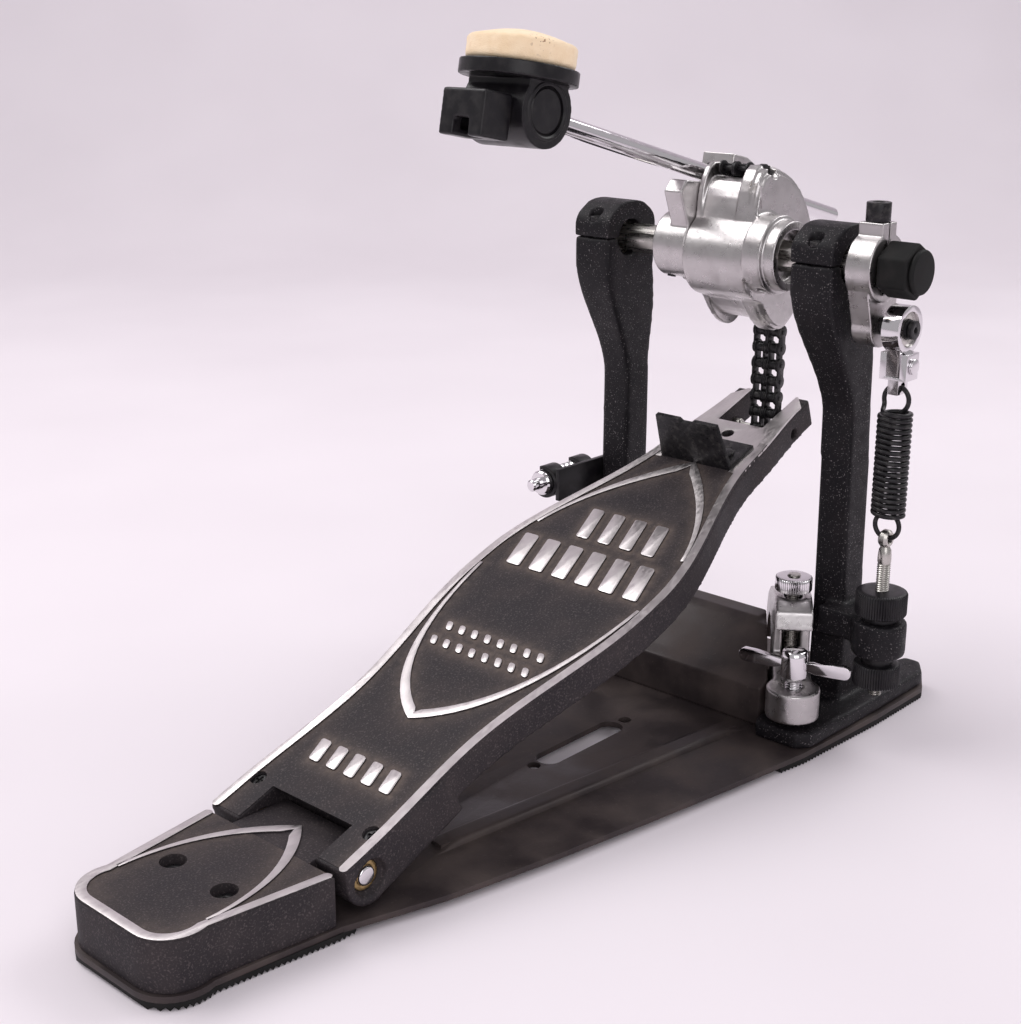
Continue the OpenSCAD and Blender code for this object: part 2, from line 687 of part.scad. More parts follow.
// --- return spring ----------------------------------------------------------------------------
spring_x = 3;
rocker_y = [-87, -75];
rocker_mid = (rocker_y[0] + rocker_y[1]) / 2;
link_c = [spring_x, shaft_z - sqrt(pow(rocker_r, 2) - pow(spring_x, 2))];
eye_z = 98;                      // height of the eye bolt's eye
hook_z = link_c[1] - 24.6;       // hole for the spring's upper loop
hook_screw_z = link_c[1] - 15.5;
module rocker_arm() {
    color([0.80, 0.80, 0.81]) difference() {
        union() {
            bar(0, shaft_z, 14.5, rocker_y[0], rocker_y[1]);
            slab(rocker_y[0] + 2, rocker_y[1]) polygon([[-14.5, shaft_z], [14.5, shaft_z],
                link_c + [9.5, -1], link_c + [-9, -1]]);
            bar(link_c[0], link_c[1], 9.5, rocker_y[0] + 2, rocker_y[1]);
            translate([-5.5, rocker_y[0], shaft_z + 8]) cube([11, 12, 11]);
        }
        bar(0, shaft_z, journal_r + 0.01, -120, -60);
        bar(link_c[0], link_c[1], 2.5, -120, -60);
        translate([0, rocker_mid, shaft_z]) cylinder(r = 2.5, h = 40);
        // split that lets the screw clamp the shaft
        translate([-0.6, -100, shaft_z + 5]) cube([1.2, 40, 30]);
    }
}
module rocker_screw() {
    color([0.10, 0.10, 0.10]) translate([0, rocker_mid, shaft_z]) difference() {
        union() {
            translate([0, 0, journal_r + 0.3]) cylinder(r = 2.45, h = 14);
            translate([0, 0, 19.1]) cylinder(r = 5.2, h = 8);
        }
        translate([0, 0, 23]) cylinder(r = 2.6, h = 10, $fn = 6);
    }
}
module shaft_end_cap() {
    color([0.05, 0.05, 0.05]) difference() {
        union() {
            hex_bar(0, shaft_z, 21, rocker_y[0] - 14.5, rocker_y[0] - 0.5);
            bar(0, shaft_z, 9.5, rocker_y[0] - 17, rocker_y[0] - 14.5);
        }
        bar(0, shaft_z, journal_r + 0.01, rocker_y[0] - 8, -80);
    }
}
ring_half = 4;
module link_screw() {
    color([0.08, 0.08, 0.08]) difference() {
        union() {
            bar(link_c[0], link_c[1], 2.45, spring_y - ring_half - 1, rocker_y[1]);
            bar(link_c[0], link_c[1], 4, spring_y - ring_half - 2.5, spring_y - ring_half - 0.9);
            bar(link_c[0], link_c[1], 4, spring_y + ring_half + 0.1, rocker_y[0] + 1.95);
            bar(link_c[0], link_c[1], 4.2, spring_y - ring_half, spring_y + ring_half);
        }
        translate([link_c[0], spring_y - ring_half - 4, link_c[1]]) rotate([-90, 0, 0])
            cylinder(r = 1.5, h = 4, $fn = 6);
    }
}
module link_ring() {
    color([0.85, 0.85, 0.86]) difference() {
        union() {
            bar(link_c[0], link_c[1], 10.2, spring_y - ring_half, spring_y + ring_half);
            slab(spring_y - 3.2, spring_y + 3.2) polygon([link_c + [-6, -7], link_c + [6, -7],
                link_c + [4.6, -20], link_c + [-4.6, -20]]);
        }
        bar(link_c[0], link_c[1], 7.6, -120, -80);
        bar(link_c[0], hook_screw_z, 1.9, -120, -80);
    }
}
module link_bearing() {
    color([0.55, 0.5, 0.42]) difference() {
        bar(link_c[0], link_c[1], 7.58, spring_y - 3, spring_y + 3);
        bar(link_c[0], link_c[1], 4.2 + fit, -120, -80);
    }
}
module spring_hook() {
    color([0.85, 0.85, 0.86]) difference() {
        union() {
            translate([link_c[0] - 5, spring_y - 6.3, link_c[1] - 21.5]) cube([10, 12.6, 11.5]);
            translate([link_c[0] - 4, spring_y - 2.5, link_c[1] - 28]) cube([8, 5, 7]);
        }
        // slot for the ring's tail, hole for the screw, and a hole for the spring's loop
        translate([link_c[0] - 10, spring_y - 3.25, link_c[1] - 20.2]) cube([20, 6.5, 30]);
        bar(link_c[0], hook_screw_z, 1.9, -120, -80);
        bar(link_c[0], hook_z, 1.8, -120, -80);
    }
}
module hook_screw() {
    color([0.8, 0.8, 0.8]) {
        bar(link_c[0], hook_screw_z, 1.88, spring_y - 6.3, spring_y + 6.3);
        bar(link_c[0], hook_screw_z, 3.4, spring_y - 7.8, spring_y - 6.3);
    }
}
wire_r = 0.95;
coil_z = [107, 157];
loop_r = 6.5;                    // radius of the spring's lower loop
// Closed ring of wire in the Y-Z plane
module wire_loop(z, r) {
    translate([spring_x, spring_y, z]) rotate([0, 90, 0]) rotate_extrude()
        translate([r, 0]) circle(wire_r, $fn = 16);
}
module return_spring() {
    step = (coil_z[1] - coil_z[0]) / coils;
    color([0.07, 0.07, 0.07]) {
        for (i = [0 : coils]) translate([spring_x, spring_y, coil_z[0] + i * step])
            rotate_extrude() translate([spring_d / 2 - wire_r, 0]) circle(wire_r, $fn = 16);
        // bar that stands for the climb from coil to coil
        translate([spring_x - 0.8, spring_y - spring_d / 2 + 0.3, coil_z[0]])
            cube([1.6, 1.2, coil_z[1] - coil_z[0]]);
        wire_loop(eye_z + loop_r, loop_r);
    }
}
module spring_top_loop() {
    color([0.07, 0.07, 0.07]) wire_loop(hook_z - loop_r + 0.5, loop_r - 0.5);
}
module eye_bolt() {
    color([0.62, 0.62, 0.63]) difference() {
        union() {
            translate([spring_x, spring_y, 24]) cylinder(r = 3, h = 64);
            translate([spring_x - 3, spring_y - 2.2, 86]) cube([6, 4.4, 12]);
            bar(spring_x, eye_z, 3.6, spring_y - 2.2, spring_y + 2.2);
        }
        bar(spring_x, eye_z, 1.6, -120, -80);
    }
}
module turned_knob(z0, z1, r, flutes) {
    difference() {
        translate([spring_x, spring_y, z0]) cylinder(r = r, h = z1 - z0);
        translate([spring_x, spring_y, z0 - 1]) cylinder(r = 3 + fit, h = z1 - z0 + 2);
        for (i = [0 : flutes - 1]) translate([spring_x, spring_y, z0 - 1])
            rotate([0, 0, i * 360 / flutes]) translate([r + 0.35, 0, 0])
                cylinder(r = 0.9, h = z1 - z0 + 2);
    }
}
module tension_knob() {
    color([0.07, 0.07, 0.07]) {
        turned_knob(62.5, 74, 11.5, 24);
        difference() {
            translate([spring_x, spring_y, 60.3]) cylinder(r = 8, h = 2.3);
            translate([spring_x, spring_y, 50]) cylinder(r = 3 + fit, h = 30);
        }
    }
}
module lock_nut() {
    color([0.07, 0.07, 0.07]) {
        turned_knob(29, 40, 10.5, 24);
        difference() {
            translate([spring_x, spring_y, 39.9]) cylinder(r = 7, h = 3.8);
            translate([spring_x, spring_y, 30]) cylinder(r = 3 + fit, h = 30);
        }
    }
}

// --- bridge and hoop clamp --------------------------------------------------------------------
bridge_half = 53.5;
module cross_bridge() {
    color([0.12, 0.11, 0.11]) difference() {
        slab(-bridge_half, bridge_half) polygon([[-28, plate_top], [-28, 24], [-22, 27],
            [0, 42], [4, 44], [14, 44], [16, 40], [16, plate_top]]);
        // stepped ends of the top edge
        both_sides() translate([-10, 40, 41]) cube([40, 30, 10]);
        both_sides() translate([-10, 30, 42.5]) cube([40, 12, 10]);
        // cored out from below
        translate([-20, -46, plate_top - 1]) cube([30, 92, 20]);
        clamp_stud_at() cylinder(r = stud_r + 0.02, h = 90, center = true);
        // channel for the clamp's arm
        on_clamp() translate([-30, -arm_half - 2, arm_low - 1.5]) cube([130, 2 * arm_half + 4, 60]);
    }
}
// The clamp lies in an upright plane that runs inwards past the right post
clamp_turn = 36;
clamp_base = [-27, -70];
module on_clamp() {
    translate([clamp_base[0], clamp_base[1], 0]) rotate([0, 0, clamp_turn]) children();
}
stud_d = 34;
stud_r = 3;
module clamp_stud_at() {
    on_clamp() translate([stud_d, 0, 0]) children();
}
arm_half = 8.5;
arm_low = 17;
arm_top = 62;
wing_r = 4;
wing_span = 26;
wing_z = 39;                     // height of the wings
rock_room = 3.2;                 // room along the arm for its rocking round the stud
// Rocking arm: a boss over the wing bolt, a column round the stud and a jaw over the hoop
module clamp_arm() {
    nose = 42;
    color([0.78, 0.78, 0.79]) on_clamp() difference() {
        union() {
            translate([0, 0, arm_low - 1]) cylinder(r = 12, h = 14);
            slab(-arm_half, arm_half) polygon(concat(
                [[0, arm_low], [0, 29], [30, 34], [30, 49], [14, 51]],
                arc([31, arm_top - nose], nose, 111, 66, 8),
                [[70, 52], [86, 43], [94, 32], [94, 20], [82, 20], [80, 31], [70, 38], [56, 41],
                    [48, 36], [44, arm_low]]));
        }
        translate([0, 0, -1]) cylinder(r = wing_r + fit, h = 32);
        translate([0, 0, wing_z - 5]) cylinder(r = wing_span + 2, h = 16);
        // slot that lets the arm rock round the stud
        for (d = [-rock_room, rock_room]) translate([stud_d + d, 0, 0]) cylinder(r = 4.2, h = 100);
        translate([stud_d - rock_room, -4.2, 0]) cube([2 * rock_room, 8.4, 100]);
    }
}
module clamp_stud() {
    color([0.7, 0.7, 0.71]) clamp_stud_at() translate([0, 0, plate_top])
        cylinder(r = stud_r, h = 66);
}
module clamp_nut() {
    color([0.78, 0.78, 0.78]) clamp_stud_at() translate([0, 0, arm_top + 1.5]) difference() {
        cylinder(r = 8.5, h = 7);
        translate([0, 0, -1]) cylinder(r = stud_r + fit, h = 20);
        for (i = [0 : 23]) rotate([0, 0, i * 15]) translate([8.8, 0, -1])
            cylinder(r = 0.8, h = 30);
    }
}
module wing_bolt() {
    color([0.82, 0.81, 0.78]) on_clamp() {
        translate([0, 0, arm_low - 1.5]) cylinder(r = wing_r, h = wing_z - arm_low);
        translate([0, 0, wing_z - 5]) cylinder(r = 6, h = 14);
        rotate([0, 0, -22]) both_sides()
            translate([-1.6, 5, wing_z - 1]) cube([3.2, wing_span - 5, 7]);
    }
}

// --- stored drum key --------------------------------------------------------------------------
key_at = [-34, 82, 94];
key_r = 6.2;
module drum_key() {
    color([0.75, 0.75, 0.76]) translate(key_at) rotate([0, 90, 0]) difference() {
        union() {
            cylinder(r = 3, h = 6);
            translate([0, 0, 6]) cylinder(r = key_r, h = 34);
        }
        translate([-2.65, -2.65, 30]) cube([5.3, 5.3, 20]);
    }
}
// Spring clip on the left post that holds the key
module key_clip() {
    wall = 1.6;
    color([0.06, 0.06, 0.06]) difference() {
        union() {
            for (x = [-24, -2]) translate([x, key_at[1], key_at[2]]) rotate([0, 90, 0])
                cylinder(r = key_r + gap + wall, h = 9);
            translate([-24, post_y + 12, key_at[2] - 8]) cube([48, 2.4, 16]);
        }
        translate([-60, key_at[1], key_at[2]]) rotate([0, 90, 0])
            cylinder(r = key_r + fit, h = 100);
        // open side through which the key snaps in
        translate([-60, key_at[1] + 3, key_at[2] - 5]) cube([100, 20, 30]);
        translate([-60, post_y - 8, key_at[2] - 30]) cube([100, 20, 60]);
    }
}

base_plate();
rubber_feet();
heel_block();
heel_screws();
hinge_pin();
hinge_bushes();
footboard();
footboard_fasteners();
toe_stop();
toe_bolt();
chain_strand_outer();
chain_strand_inner();
chain_link(12);  // chain_link_12
chain_link(13);  // chain_link_13
chain_link(14);  // chain_link_14
chain_link(15);  // chain_link_15
chain_link(16);  // chain_link_16
chain_link(17);  // chain_link_17
chain_tail();
left_post();
right_post();
left_cap();
right_cap();
cap_screws();
bearing_outer_rings();
bearing_balls();
bearing_inner_rings();
drive_shaft();
chain_cam();
hub_screws();
beater_holder();
rod_insert();
rod_key_bolt();
beater_rod();
swivel_barrel();
beater_body();
beater_pad();
head_weight();
rocker_arm();
rocker_screw();
shaft_end_cap();
link_screw();
link_ring();
link_bearing();
spring_hook();
hook_screw();
return_spring();
spring_top_loop();
eye_bolt();
tension_knob();
lock_nut();
cross_bridge();
clamp_arm();
clamp_stud();
clamp_nut();
wing_bolt();
key_clip();
drum_key();
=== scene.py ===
"""Looks of the bass drum pedal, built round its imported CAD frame.

Shapes are made in millimetres in the frame of the model and scaled to metres as they are added:
+X towards the drum, +Y to the player's left, +Z up, with the drive shaft above the origin.
"""
import json
import math

import bmesh
import bpy
from mathutils import Matrix, Vector, geometry, noise


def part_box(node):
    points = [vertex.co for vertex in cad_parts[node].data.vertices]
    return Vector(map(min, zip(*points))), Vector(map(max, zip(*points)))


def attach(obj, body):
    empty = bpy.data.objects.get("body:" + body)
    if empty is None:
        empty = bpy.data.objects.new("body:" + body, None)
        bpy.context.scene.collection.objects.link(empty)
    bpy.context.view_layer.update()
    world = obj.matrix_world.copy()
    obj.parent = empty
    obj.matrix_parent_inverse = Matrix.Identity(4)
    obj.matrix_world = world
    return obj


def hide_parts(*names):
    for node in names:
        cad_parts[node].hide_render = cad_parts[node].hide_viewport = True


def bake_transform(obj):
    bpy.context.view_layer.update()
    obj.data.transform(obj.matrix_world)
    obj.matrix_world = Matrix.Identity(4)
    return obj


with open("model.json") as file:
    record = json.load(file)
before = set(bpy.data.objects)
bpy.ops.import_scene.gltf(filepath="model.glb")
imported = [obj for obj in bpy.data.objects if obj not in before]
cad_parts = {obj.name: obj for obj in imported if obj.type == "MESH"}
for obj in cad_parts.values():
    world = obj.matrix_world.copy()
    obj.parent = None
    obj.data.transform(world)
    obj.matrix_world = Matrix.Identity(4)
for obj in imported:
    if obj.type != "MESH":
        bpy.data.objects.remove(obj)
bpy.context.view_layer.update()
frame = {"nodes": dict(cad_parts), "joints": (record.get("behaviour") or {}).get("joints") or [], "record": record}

MM = 0.001
RECORD = frame["record"]
BODIES = RECORD["behaviour"]["bodies"]
BODY_OF = {node: body for body, nodes in BODIES.items() for node in nodes}
SLOT_OF = {part["node"]: part["material_slot"] for part in RECORD["subparts"]}
PIVOT = {j["name"]: Vector(j["pos_m"]) / MM for j in frame["joints"] if j.get("pos_m")}


# --- places ---------------------------------------------------------------------------------------
def low(node):
    """Lowest corner of a CAD node, in millimetres."""
    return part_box(node)[0] / MM


def high(node):
    """Highest corner of a CAD node, in millimetres."""
    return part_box(node)[1] / MM


def turn(degrees, axis):
    return Matrix.Rotation(math.radians(degrees), 4, axis)


def move(x, y, z):
    return Matrix.Translation((x, y, z))


# The driving places and angles of the CAD, in millimetres and degrees
SHAFT = PIVOT["beater_swing"]
BOARD_SLOPE = 19.5
BOARD_START = Vector((-267, 0, 26))
ON_BOARD = Matrix.Translation(BOARD_START) @ turn(-BOARD_SLOPE, "Y")
BOARD_LENGTH = 339
ROD_TILT = 75
ROD_X = 33
ROD_Y = 16
HEAD_U = 130
HEAD_TILT = -4
ON_BEATER = Matrix.Translation(SHAFT) @ turn(-ROD_TILT, "Y")
ON_HEAD = ON_BEATER @ move(ROD_X, ROD_Y, HEAD_U) @ turn(HEAD_TILT, "Y")
CLAMP_TURN = 36
WING = PIVOT["wing_bolt_turn"]
ON_CLAMP = move(WING.x, WING.y, 0) @ turn(CLAMP_TURN, "Z")
PLATE_TOP = 5.5
HEEL_TOP = 25.5
ON_HEEL = move(0, 0, HEEL_TOP)


# --- shaders --------------------------------------------------------------------------------------
def new_paint(name, color, rough, metal=0.0, gloss=0.5):
    """A material, its node tree and its shader; gloss is its specular level.

    Colour and roughness are plain values, which a pattern may replace.
    """
    paint = bpy.data.materials.new(name)
    paint.use_nodes = True
    shader = paint.node_tree.nodes["Principled BSDF"]
    shader.inputs["Base Color"].default_value = (*color, 1)
    shader.inputs["Roughness"].default_value = rough
    shader.inputs["Metallic"].default_value = metal
    shader.inputs["Specular IOR Level"].default_value = gloss
    return paint, paint.node_tree, shader


def coordinates(tree, stretch=(1, 1, 1)):
    """The piece's own coordinates, in metres, stretched along its axes."""
    place = tree.nodes.new("ShaderNodeTexCoord")
    mapping = tree.nodes.new("ShaderNodeMapping")
    mapping.inputs["Scale"].default_value = stretch
    tree.links.new(place.outputs["Object"], mapping.inputs["Vector"])
    return mapping.outputs["Vector"]


def grain(tree, size, detail=3.0, stretch=(1, 1, 1)):
    """Noise whose grains are about this size in millimetres."""
    texture = tree.nodes.new("ShaderNodeTexNoise")
    texture.inputs["Scale"].default_value = 1 / (size * MM)
    texture.inputs["Detail"].default_value = detail
    tree.links.new(coordinates(tree, stretch), texture.inputs["Vector"])
    return texture.outputs["Fac"]


def between(tree, value, start, end, out_low, out_high):
    """The value from start to end mapped to a range, and held outside it."""
    node = tree.nodes.new("ShaderNodeMapRange")
    node.inputs["From Min"].default_value = start
    node.inputs["From Max"].default_value = end
    node.inputs["To Min"].default_value = out_low
    node.inputs["To Max"].default_value = out_high
    tree.links.new(value, node.inputs["Value"])
    return node.outputs["Result"]


def blend_colors(tree, share, first, second):
    """Mix of two colours, each a triple or the output of another node."""
    node = tree.nodes.new("ShaderNodeMix")
    node.data_type = "RGBA"
    tree.links.new(share, node.inputs["Factor"])
    for socket, color in ((node.inputs["A"], first), (node.inputs["B"], second)):
        if isinstance(color, tuple):
            socket.default_value = (*color, 1)
        else:
            tree.links.new(color, socket)
    return node.outputs["Result"]


def combine(tree, operation, first, second):
    """Sum, product and the like of two numbers or outputs."""
    node = tree.nodes.new("ShaderNodeMath")
    node.operation = operation
    for socket, value in zip(node.inputs, (first, second)):
        if isinstance(value, (int, float)):
            socket.default_value = value
        else:
            tree.links.new(value, socket)
    return node.outputs["Value"]


def relief(tree, shader, height, depth):
    """Bump of this depth in millimetres from a height output."""
    node = tree.nodes.new("ShaderNodeBump")
    node.inputs["Distance"].default_value = depth * MM
    tree.links.new(height, node.inputs["Height"])
    tree.links.new(node.outputs["Normal"], shader.inputs["Normal"])


def connect(tree, output, shader, name):
    tree.links.new(output, shader.inputs[name])


def attribute(tree, name):
    """A number that the mesh stores for each of its corners."""
    node = tree.nodes.new("ShaderNodeAttribute")
    node.attribute_name = name
    return node.outputs["Fac"]


def powder_coat():
    """Black powder coat with a fine glitter."""
    paint, tree, shader = new_paint("powder_coat", (0.014, 0.013, 0.015), 0.48, gloss=0.2)
    glitter = between(tree, grain(tree, 0.7, 1.0), 0.66, 0.72, 0, 1)
    worn = between(tree, grain(tree, 9, 4.0), 0.45, 0.75, 0, 0.6)
    base = blend_colors(tree, worn, (0.008, 0.007, 0.009), (0.017, 0.014, 0.016))
    connect(tree, blend_colors(tree, glitter, base, (0.16, 0.145, 0.15)), shader, "Base Color")
    connect(tree, between(tree, grain(tree, 5, 4.0), 0.3, 0.7, 0.40, 0.58), shader, "Roughness")
    relief(tree, shader, grain(tree, 0.55, 2.0), 0.10)
    return paint


def board_black():
    """Sandy black casting of the footboard and heel, with dust beside its raised marks."""
    paint, tree, shader = new_paint("board_black", (0.02, 0.018, 0.02), 0.6, gloss=0.2)
    patches = between(tree, grain(tree, 16, 5.0), 0.42, 0.72, 0, 1)
    base = blend_colors(tree, patches, (0.024, 0.020, 0.023), (0.044, 0.036, 0.038))
    cloud = between(tree, grain(tree, 3.2, 5.0), 0.25, 0.7, 0.35, 1)
    dust = combine(tree, "MULTIPLY", attribute(tree, "dust"), cloud)
    dusty = blend_colors(tree, dust, base, (0.17, 0.13, 0.11))
    sand = between(tree, grain(tree, 0.8, 2.0), 0.55, 0.72, 0, 0.6)
    connect(tree, blend_colors(tree, sand, dusty, (0.12, 0.10, 0.10)), shader, "Base Color")
    connect(tree, between(tree, patches, 0, 1, 0.52, 0.68), shader, "Roughness")
    relief(tree, shader, grain(tree, 0.42, 2.0), 0.11)
    return paint


def brushed(name, color, rough, stretch, depth=0.02, spread=0.12):
    """Metal with fine streaks across the stretched axes."""
    paint, tree, shader = new_paint(name, color, rough, 1.0)
    streaks = grain(tree, 1.1, 3.0, stretch)
    dull = tuple(0.82 * c for c in color)
    patches = between(tree, grain(tree, 11, 4.0), 0.35, 0.7, 0, 1)
    connect(tree, blend_colors(tree, patches, color, dull), shader, "Base Color")
    connect(tree, between(tree, streaks, 0.3, 0.7, rough - spread, rough + spread), shader, "Roughness")
    relief(tree, shader, streaks, depth)
    return paint


def polished_casting():
    """Buffed aluminium that keeps the slight waves and pits of its casting."""
    paint, tree, shader = new_paint("polished_casting", (0.50, 0.48, 0.48), 0.3, 1.0)
    waves = grain(tree, 7, 2.0)
    pits = between(tree, grain(tree, 1.2, 2.0), 0.25, 0.36, 0, 1)
    stain = between(tree, grain(tree, 12, 5.0), 0.5, 0.78, 0, 0.7)
    metal = blend_colors(tree, stain, (0.52, 0.50, 0.50), (0.36, 0.34, 0.34))
    connect(tree, metal, shader, "Base Color")
    connect(tree, between(tree, grain(tree, 4, 5.0), 0.3, 0.75, 0.24, 0.40), shader, "Roughness")
    relief(tree, shader, combine(tree, "ADD", waves, combine(tree, "MULTIPLY", pits, 0.25)), 0.18)
    return paint


def chrome():
    """Mirror plating with faint haze."""
    paint, tree, shader = new_paint("chrome", (0.74, 0.72, 0.74), 0.07, 1.0)
    haze = between(tree, grain(tree, 6, 5.0), 0.4, 0.8, 0.05, 0.2)
    connect(tree, haze, shader, "Roughness")
    relief(tree, shader, grain(tree, 5, 1.0), 0.03)
    return paint


def black_oxide():
    """Oiled black oxide of screws, chain and toe stop, rubbed brighter in places."""
    paint, tree, shader = new_paint("black_oxide", (0.02, 0.02, 0.022), 0.34, 0.3, gloss=0.35)
    rubbed = between(tree, grain(tree, 2.6, 5.0), 0.5, 0.78, 0, 0.6)
    oxide = blend_colors(tree, rubbed, (0.016, 0.015, 0.017), (0.10, 0.095, 0.09))
    connect(tree, oxide, shader, "Base Color")
    connect(tree, between(tree, grain(tree, 1.4, 3.0), 0.3, 0.7, 0.24, 0.46), shader, "Roughness")
    relief(tree, shader, grain(tree, 0.6, 2.0), 0.02)
    return paint


def stained_plate():
    """Brown-black sheet steel of the base plate, marked by water and shoes."""
    paint, tree, shader = new_paint("stained_plate", (0.05, 0.042, 0.036), 0.45, 0.2, gloss=0.3)
    blots = between(tree, grain(tree, 22, 6.0), 0.38, 0.68, 0, 1)
    base = blend_colors(tree, blots, (0.038, 0.029, 0.030), (0.082, 0.063, 0.059))
    specks = between(tree, grain(tree, 1.3, 3.0), 0.66, 0.74, 0, 0.4)
    connect(tree, blend_colors(tree, specks, base, (0.12, 0.10, 0.09)), shader, "Base Color")
    connect(tree, between(tree, blots, 0, 1, 0.36, 0.6), shader, "Roughness")
    relief(tree, shader, grain(tree, 2.2, 5.0), 0.06)
    return paint


def rubber():
    """Dull black rubber with a faint bloom."""
    paint, tree, shader = new_paint("rubber_black", (0.018, 0.018, 0.018), 0.7, gloss=0.2)
    bloom = between(tree, grain(tree, 8, 5.0), 0.45, 0.75, 0, 1)
    black = blend_colors(tree, bloom, (0.008, 0.008, 0.008), (0.020, 0.018, 0.018))
    connect(tree, black, shader, "Base Color")
    connect(tree, between(tree, bloom, 0, 1, 0.6, 0.8), shader, "Roughness")
    relief(tree, shader, grain(tree, 0.4, 2.0), 0.04)
    return paint


def black_plastic():
    """Satin moulded plastic with a fine dry texture."""
    paint, tree, shader = new_paint("moulded_plastic", (0.020, 0.020, 0.022), 0.36, gloss=0.3)
    film = between(tree, grain(tree, 5, 5.0), 0.45, 0.75, 0, 1)
    black = blend_colors(tree, film, (0.009, 0.008, 0.010), (0.022, 0.020, 0.021))
    connect(tree, black, shader, "Base Color")
    connect(tree, between(tree, film, 0, 1, 0.3, 0.5), shader, "Roughness")
    relief(tree, shader, grain(tree, 0.5, 1.0), 0.03)
    return paint


def bronze():
    """Porous bronze of the hinge bushes and the ring's bearing."""
    paint, tree, shader = new_paint("sintered_bronze", (0.45, 0.32, 0.15), 0.4, 1.0)
    connect(tree, between(tree, grain(tree, 0.6, 3.0), 0.3, 0.7, 0.3, 0.5), shader, "Roughness")
    relief(tree, shader, grain(tree, 0.5, 2.0), 0.04)
    return paint


SPECK_PLACE = ON_HEAD @ Vector((24, -17, 10))


def felt():
    """Pressed tan wool felt with a small cluster of dark specks on its near side."""
    paint, tree, shader = new_paint("tan_felt", (0.97, 0.76, 0.52), 0.95)
    shader.inputs["Sheen Weight"].default_value = 0.2
    shader.inputs["Sheen Roughness"].default_value = 0.5
    clumps = between(tree, grain(tree, 4.5, 5.0), 0.35, 0.7, 0, 1)
    wool = blend_colors(tree, clumps, (1.0, 0.80, 0.56), (0.94, 0.72, 0.47))
    near = tree.nodes.new("ShaderNodeVectorMath")
    near.operation = "DISTANCE"
    near.inputs[1].default_value = SPECK_PLACE * MM
    tree.links.new(coordinates(tree), near.inputs[0])
    spot = between(tree, near.outputs["Value"], 0.002, 0.006, 1, 0)
    flecks = between(tree, grain(tree, 1.5, 1.0), 0.62, 0.66, 0, 1)
    dark = combine(tree, "MULTIPLY", spot, flecks)
    connect(tree, blend_colors(tree, dark, wool, (0.24, 0.11, 0.05)), shader, "Base Color")
    along = grain(tree, 0.5, 4.0, (1, 0.35, 1))
    fibres = combine(tree, "ADD", along, grain(tree, 0.5, 4.0, (0.4, 1, 1)))
    relief(tree, shader, fibres, 0.16)
    return paint


TRIM_COLOR = (0.72, 0.68, 0.68)
PAINT = {
    "black_casting": powder_coat(),
    "board_casting": board_black(),
    "trim": brushed("bare_trim", TRIM_COLOR, 0.42, (0.15, 1, 1), 0.03),
    "stained_steel": stained_plate(),
    "rubber": rubber(),
    "black_steel": black_oxide(),
    "polished_aluminium": polished_casting(),
    "bright_chrome": chrome(),
    "plain_steel": brushed("brushed_steel", (0.56, 0.54, 0.51), 0.3, (1, 0.12, 1), 0.02),
    "bronze": bronze(),
    "black_plastic": black_plastic(),
    "felt": felt(),
}


# --- mesh tools -----------------------------------------------------------------------------------
def moved(bm, matrix):
    """The mesh itself, after the matrix is applied to it."""
    bmesh.ops.transform(bm, matrix=matrix, verts=bm.verts)
    return bm


def new_object(name, bm, scale=1.0):
    """Smooth-shaded object in the scene from a mesh that is used up."""
    bmesh.ops.scale(bm, vec=(scale, scale, scale), verts=bm.verts)
    mesh = bpy.data.meshes.new(name)
    bm.to_mesh(mesh)
    bm.free()
    mesh.shade_smooth()
    made = bpy.data.objects.new(name, mesh)
    bpy.context.scene.collection.objects.link(made)
    return made


def add(name, bm, body, slot, place=None, paints=None, sharp=32):
    """Makes a piece from a mesh in millimetres, gives it its paint and lets it ride on its body."""
    if place is not None:
        moved(bm, place)
    piece = new_object(name, bm, MM)
    piece.data.set_sharp_from_angle(angle=math.radians(sharp))
    for paint in paints or [PAINT[slot]]:
        piece.data.materials.append(paint)
    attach(piece, body)
    return piece


def settle(piece):
    """Applies the piece's modifiers."""
    graph = bpy.context.evaluated_depsgraph_get()
    done = bpy.data.meshes.new_from_object(piece.evaluated_get(graph))
    piece.modifiers.clear()
    piece.data = done


def bevelled(piece, width, segments=2, angle=32):
    """Rounds the piece's edges by this many millimetres."""
    bevel = piece.modifiers.new("bevel", "BEVEL")
    bevel.width = width * MM
    bevel.segments = segments
    bevel.limit_method = "ANGLE"
    bevel.angle_limit = math.radians(angle)
    bevel.miter_outer = "MITER_ARC"
    bevel.harden_normals = False
    settle(piece)
    piece.data.shade_smooth()
    piece.data.set_sharp_from_angle(angle=math.radians(40))


def cast(piece, voxel, passes):
    """Turns the piece into one soft casting: a fine remesh, relaxed."""
    remesh = piece.modifiers.new("remesh", "REMESH")
    remesh.mode = "VOXEL"
    remesh.voxel_size = voxel * MM
    remesh.use_smooth_shade = True
    relax = piece.modifiers.new("relax", "SMOOTH")
    relax.iterations = passes
    relax.factor = 0.5
    paints = list(piece.data.materials)
    settle(piece)
    if not piece.data.materials:
        for paint in paints:
            piece.data.materials.append(paint)
    piece.data.shade_smooth()


def cad_mesh(node):
    """The node's own mesh in millimetres, with its split corners joined."""
    bm = bmesh.new()
    bm.from_mesh(frame["nodes"][node].data)
    bmesh.ops.scale(bm, vec=(1 / MM, 1 / MM, 1 / MM), verts=bm.verts)
    bmesh.ops.remove_doubles(bm, verts=bm.verts, dist=0.002)
    flat = math.radians(0.6)
    bmesh.ops.dissolve_limit(bm, angle_limit=flat, verts=bm.verts, edges=bm.edges)
    bmesh.ops.recalc_face_normals(bm, faces=bm.faces)
    return bm


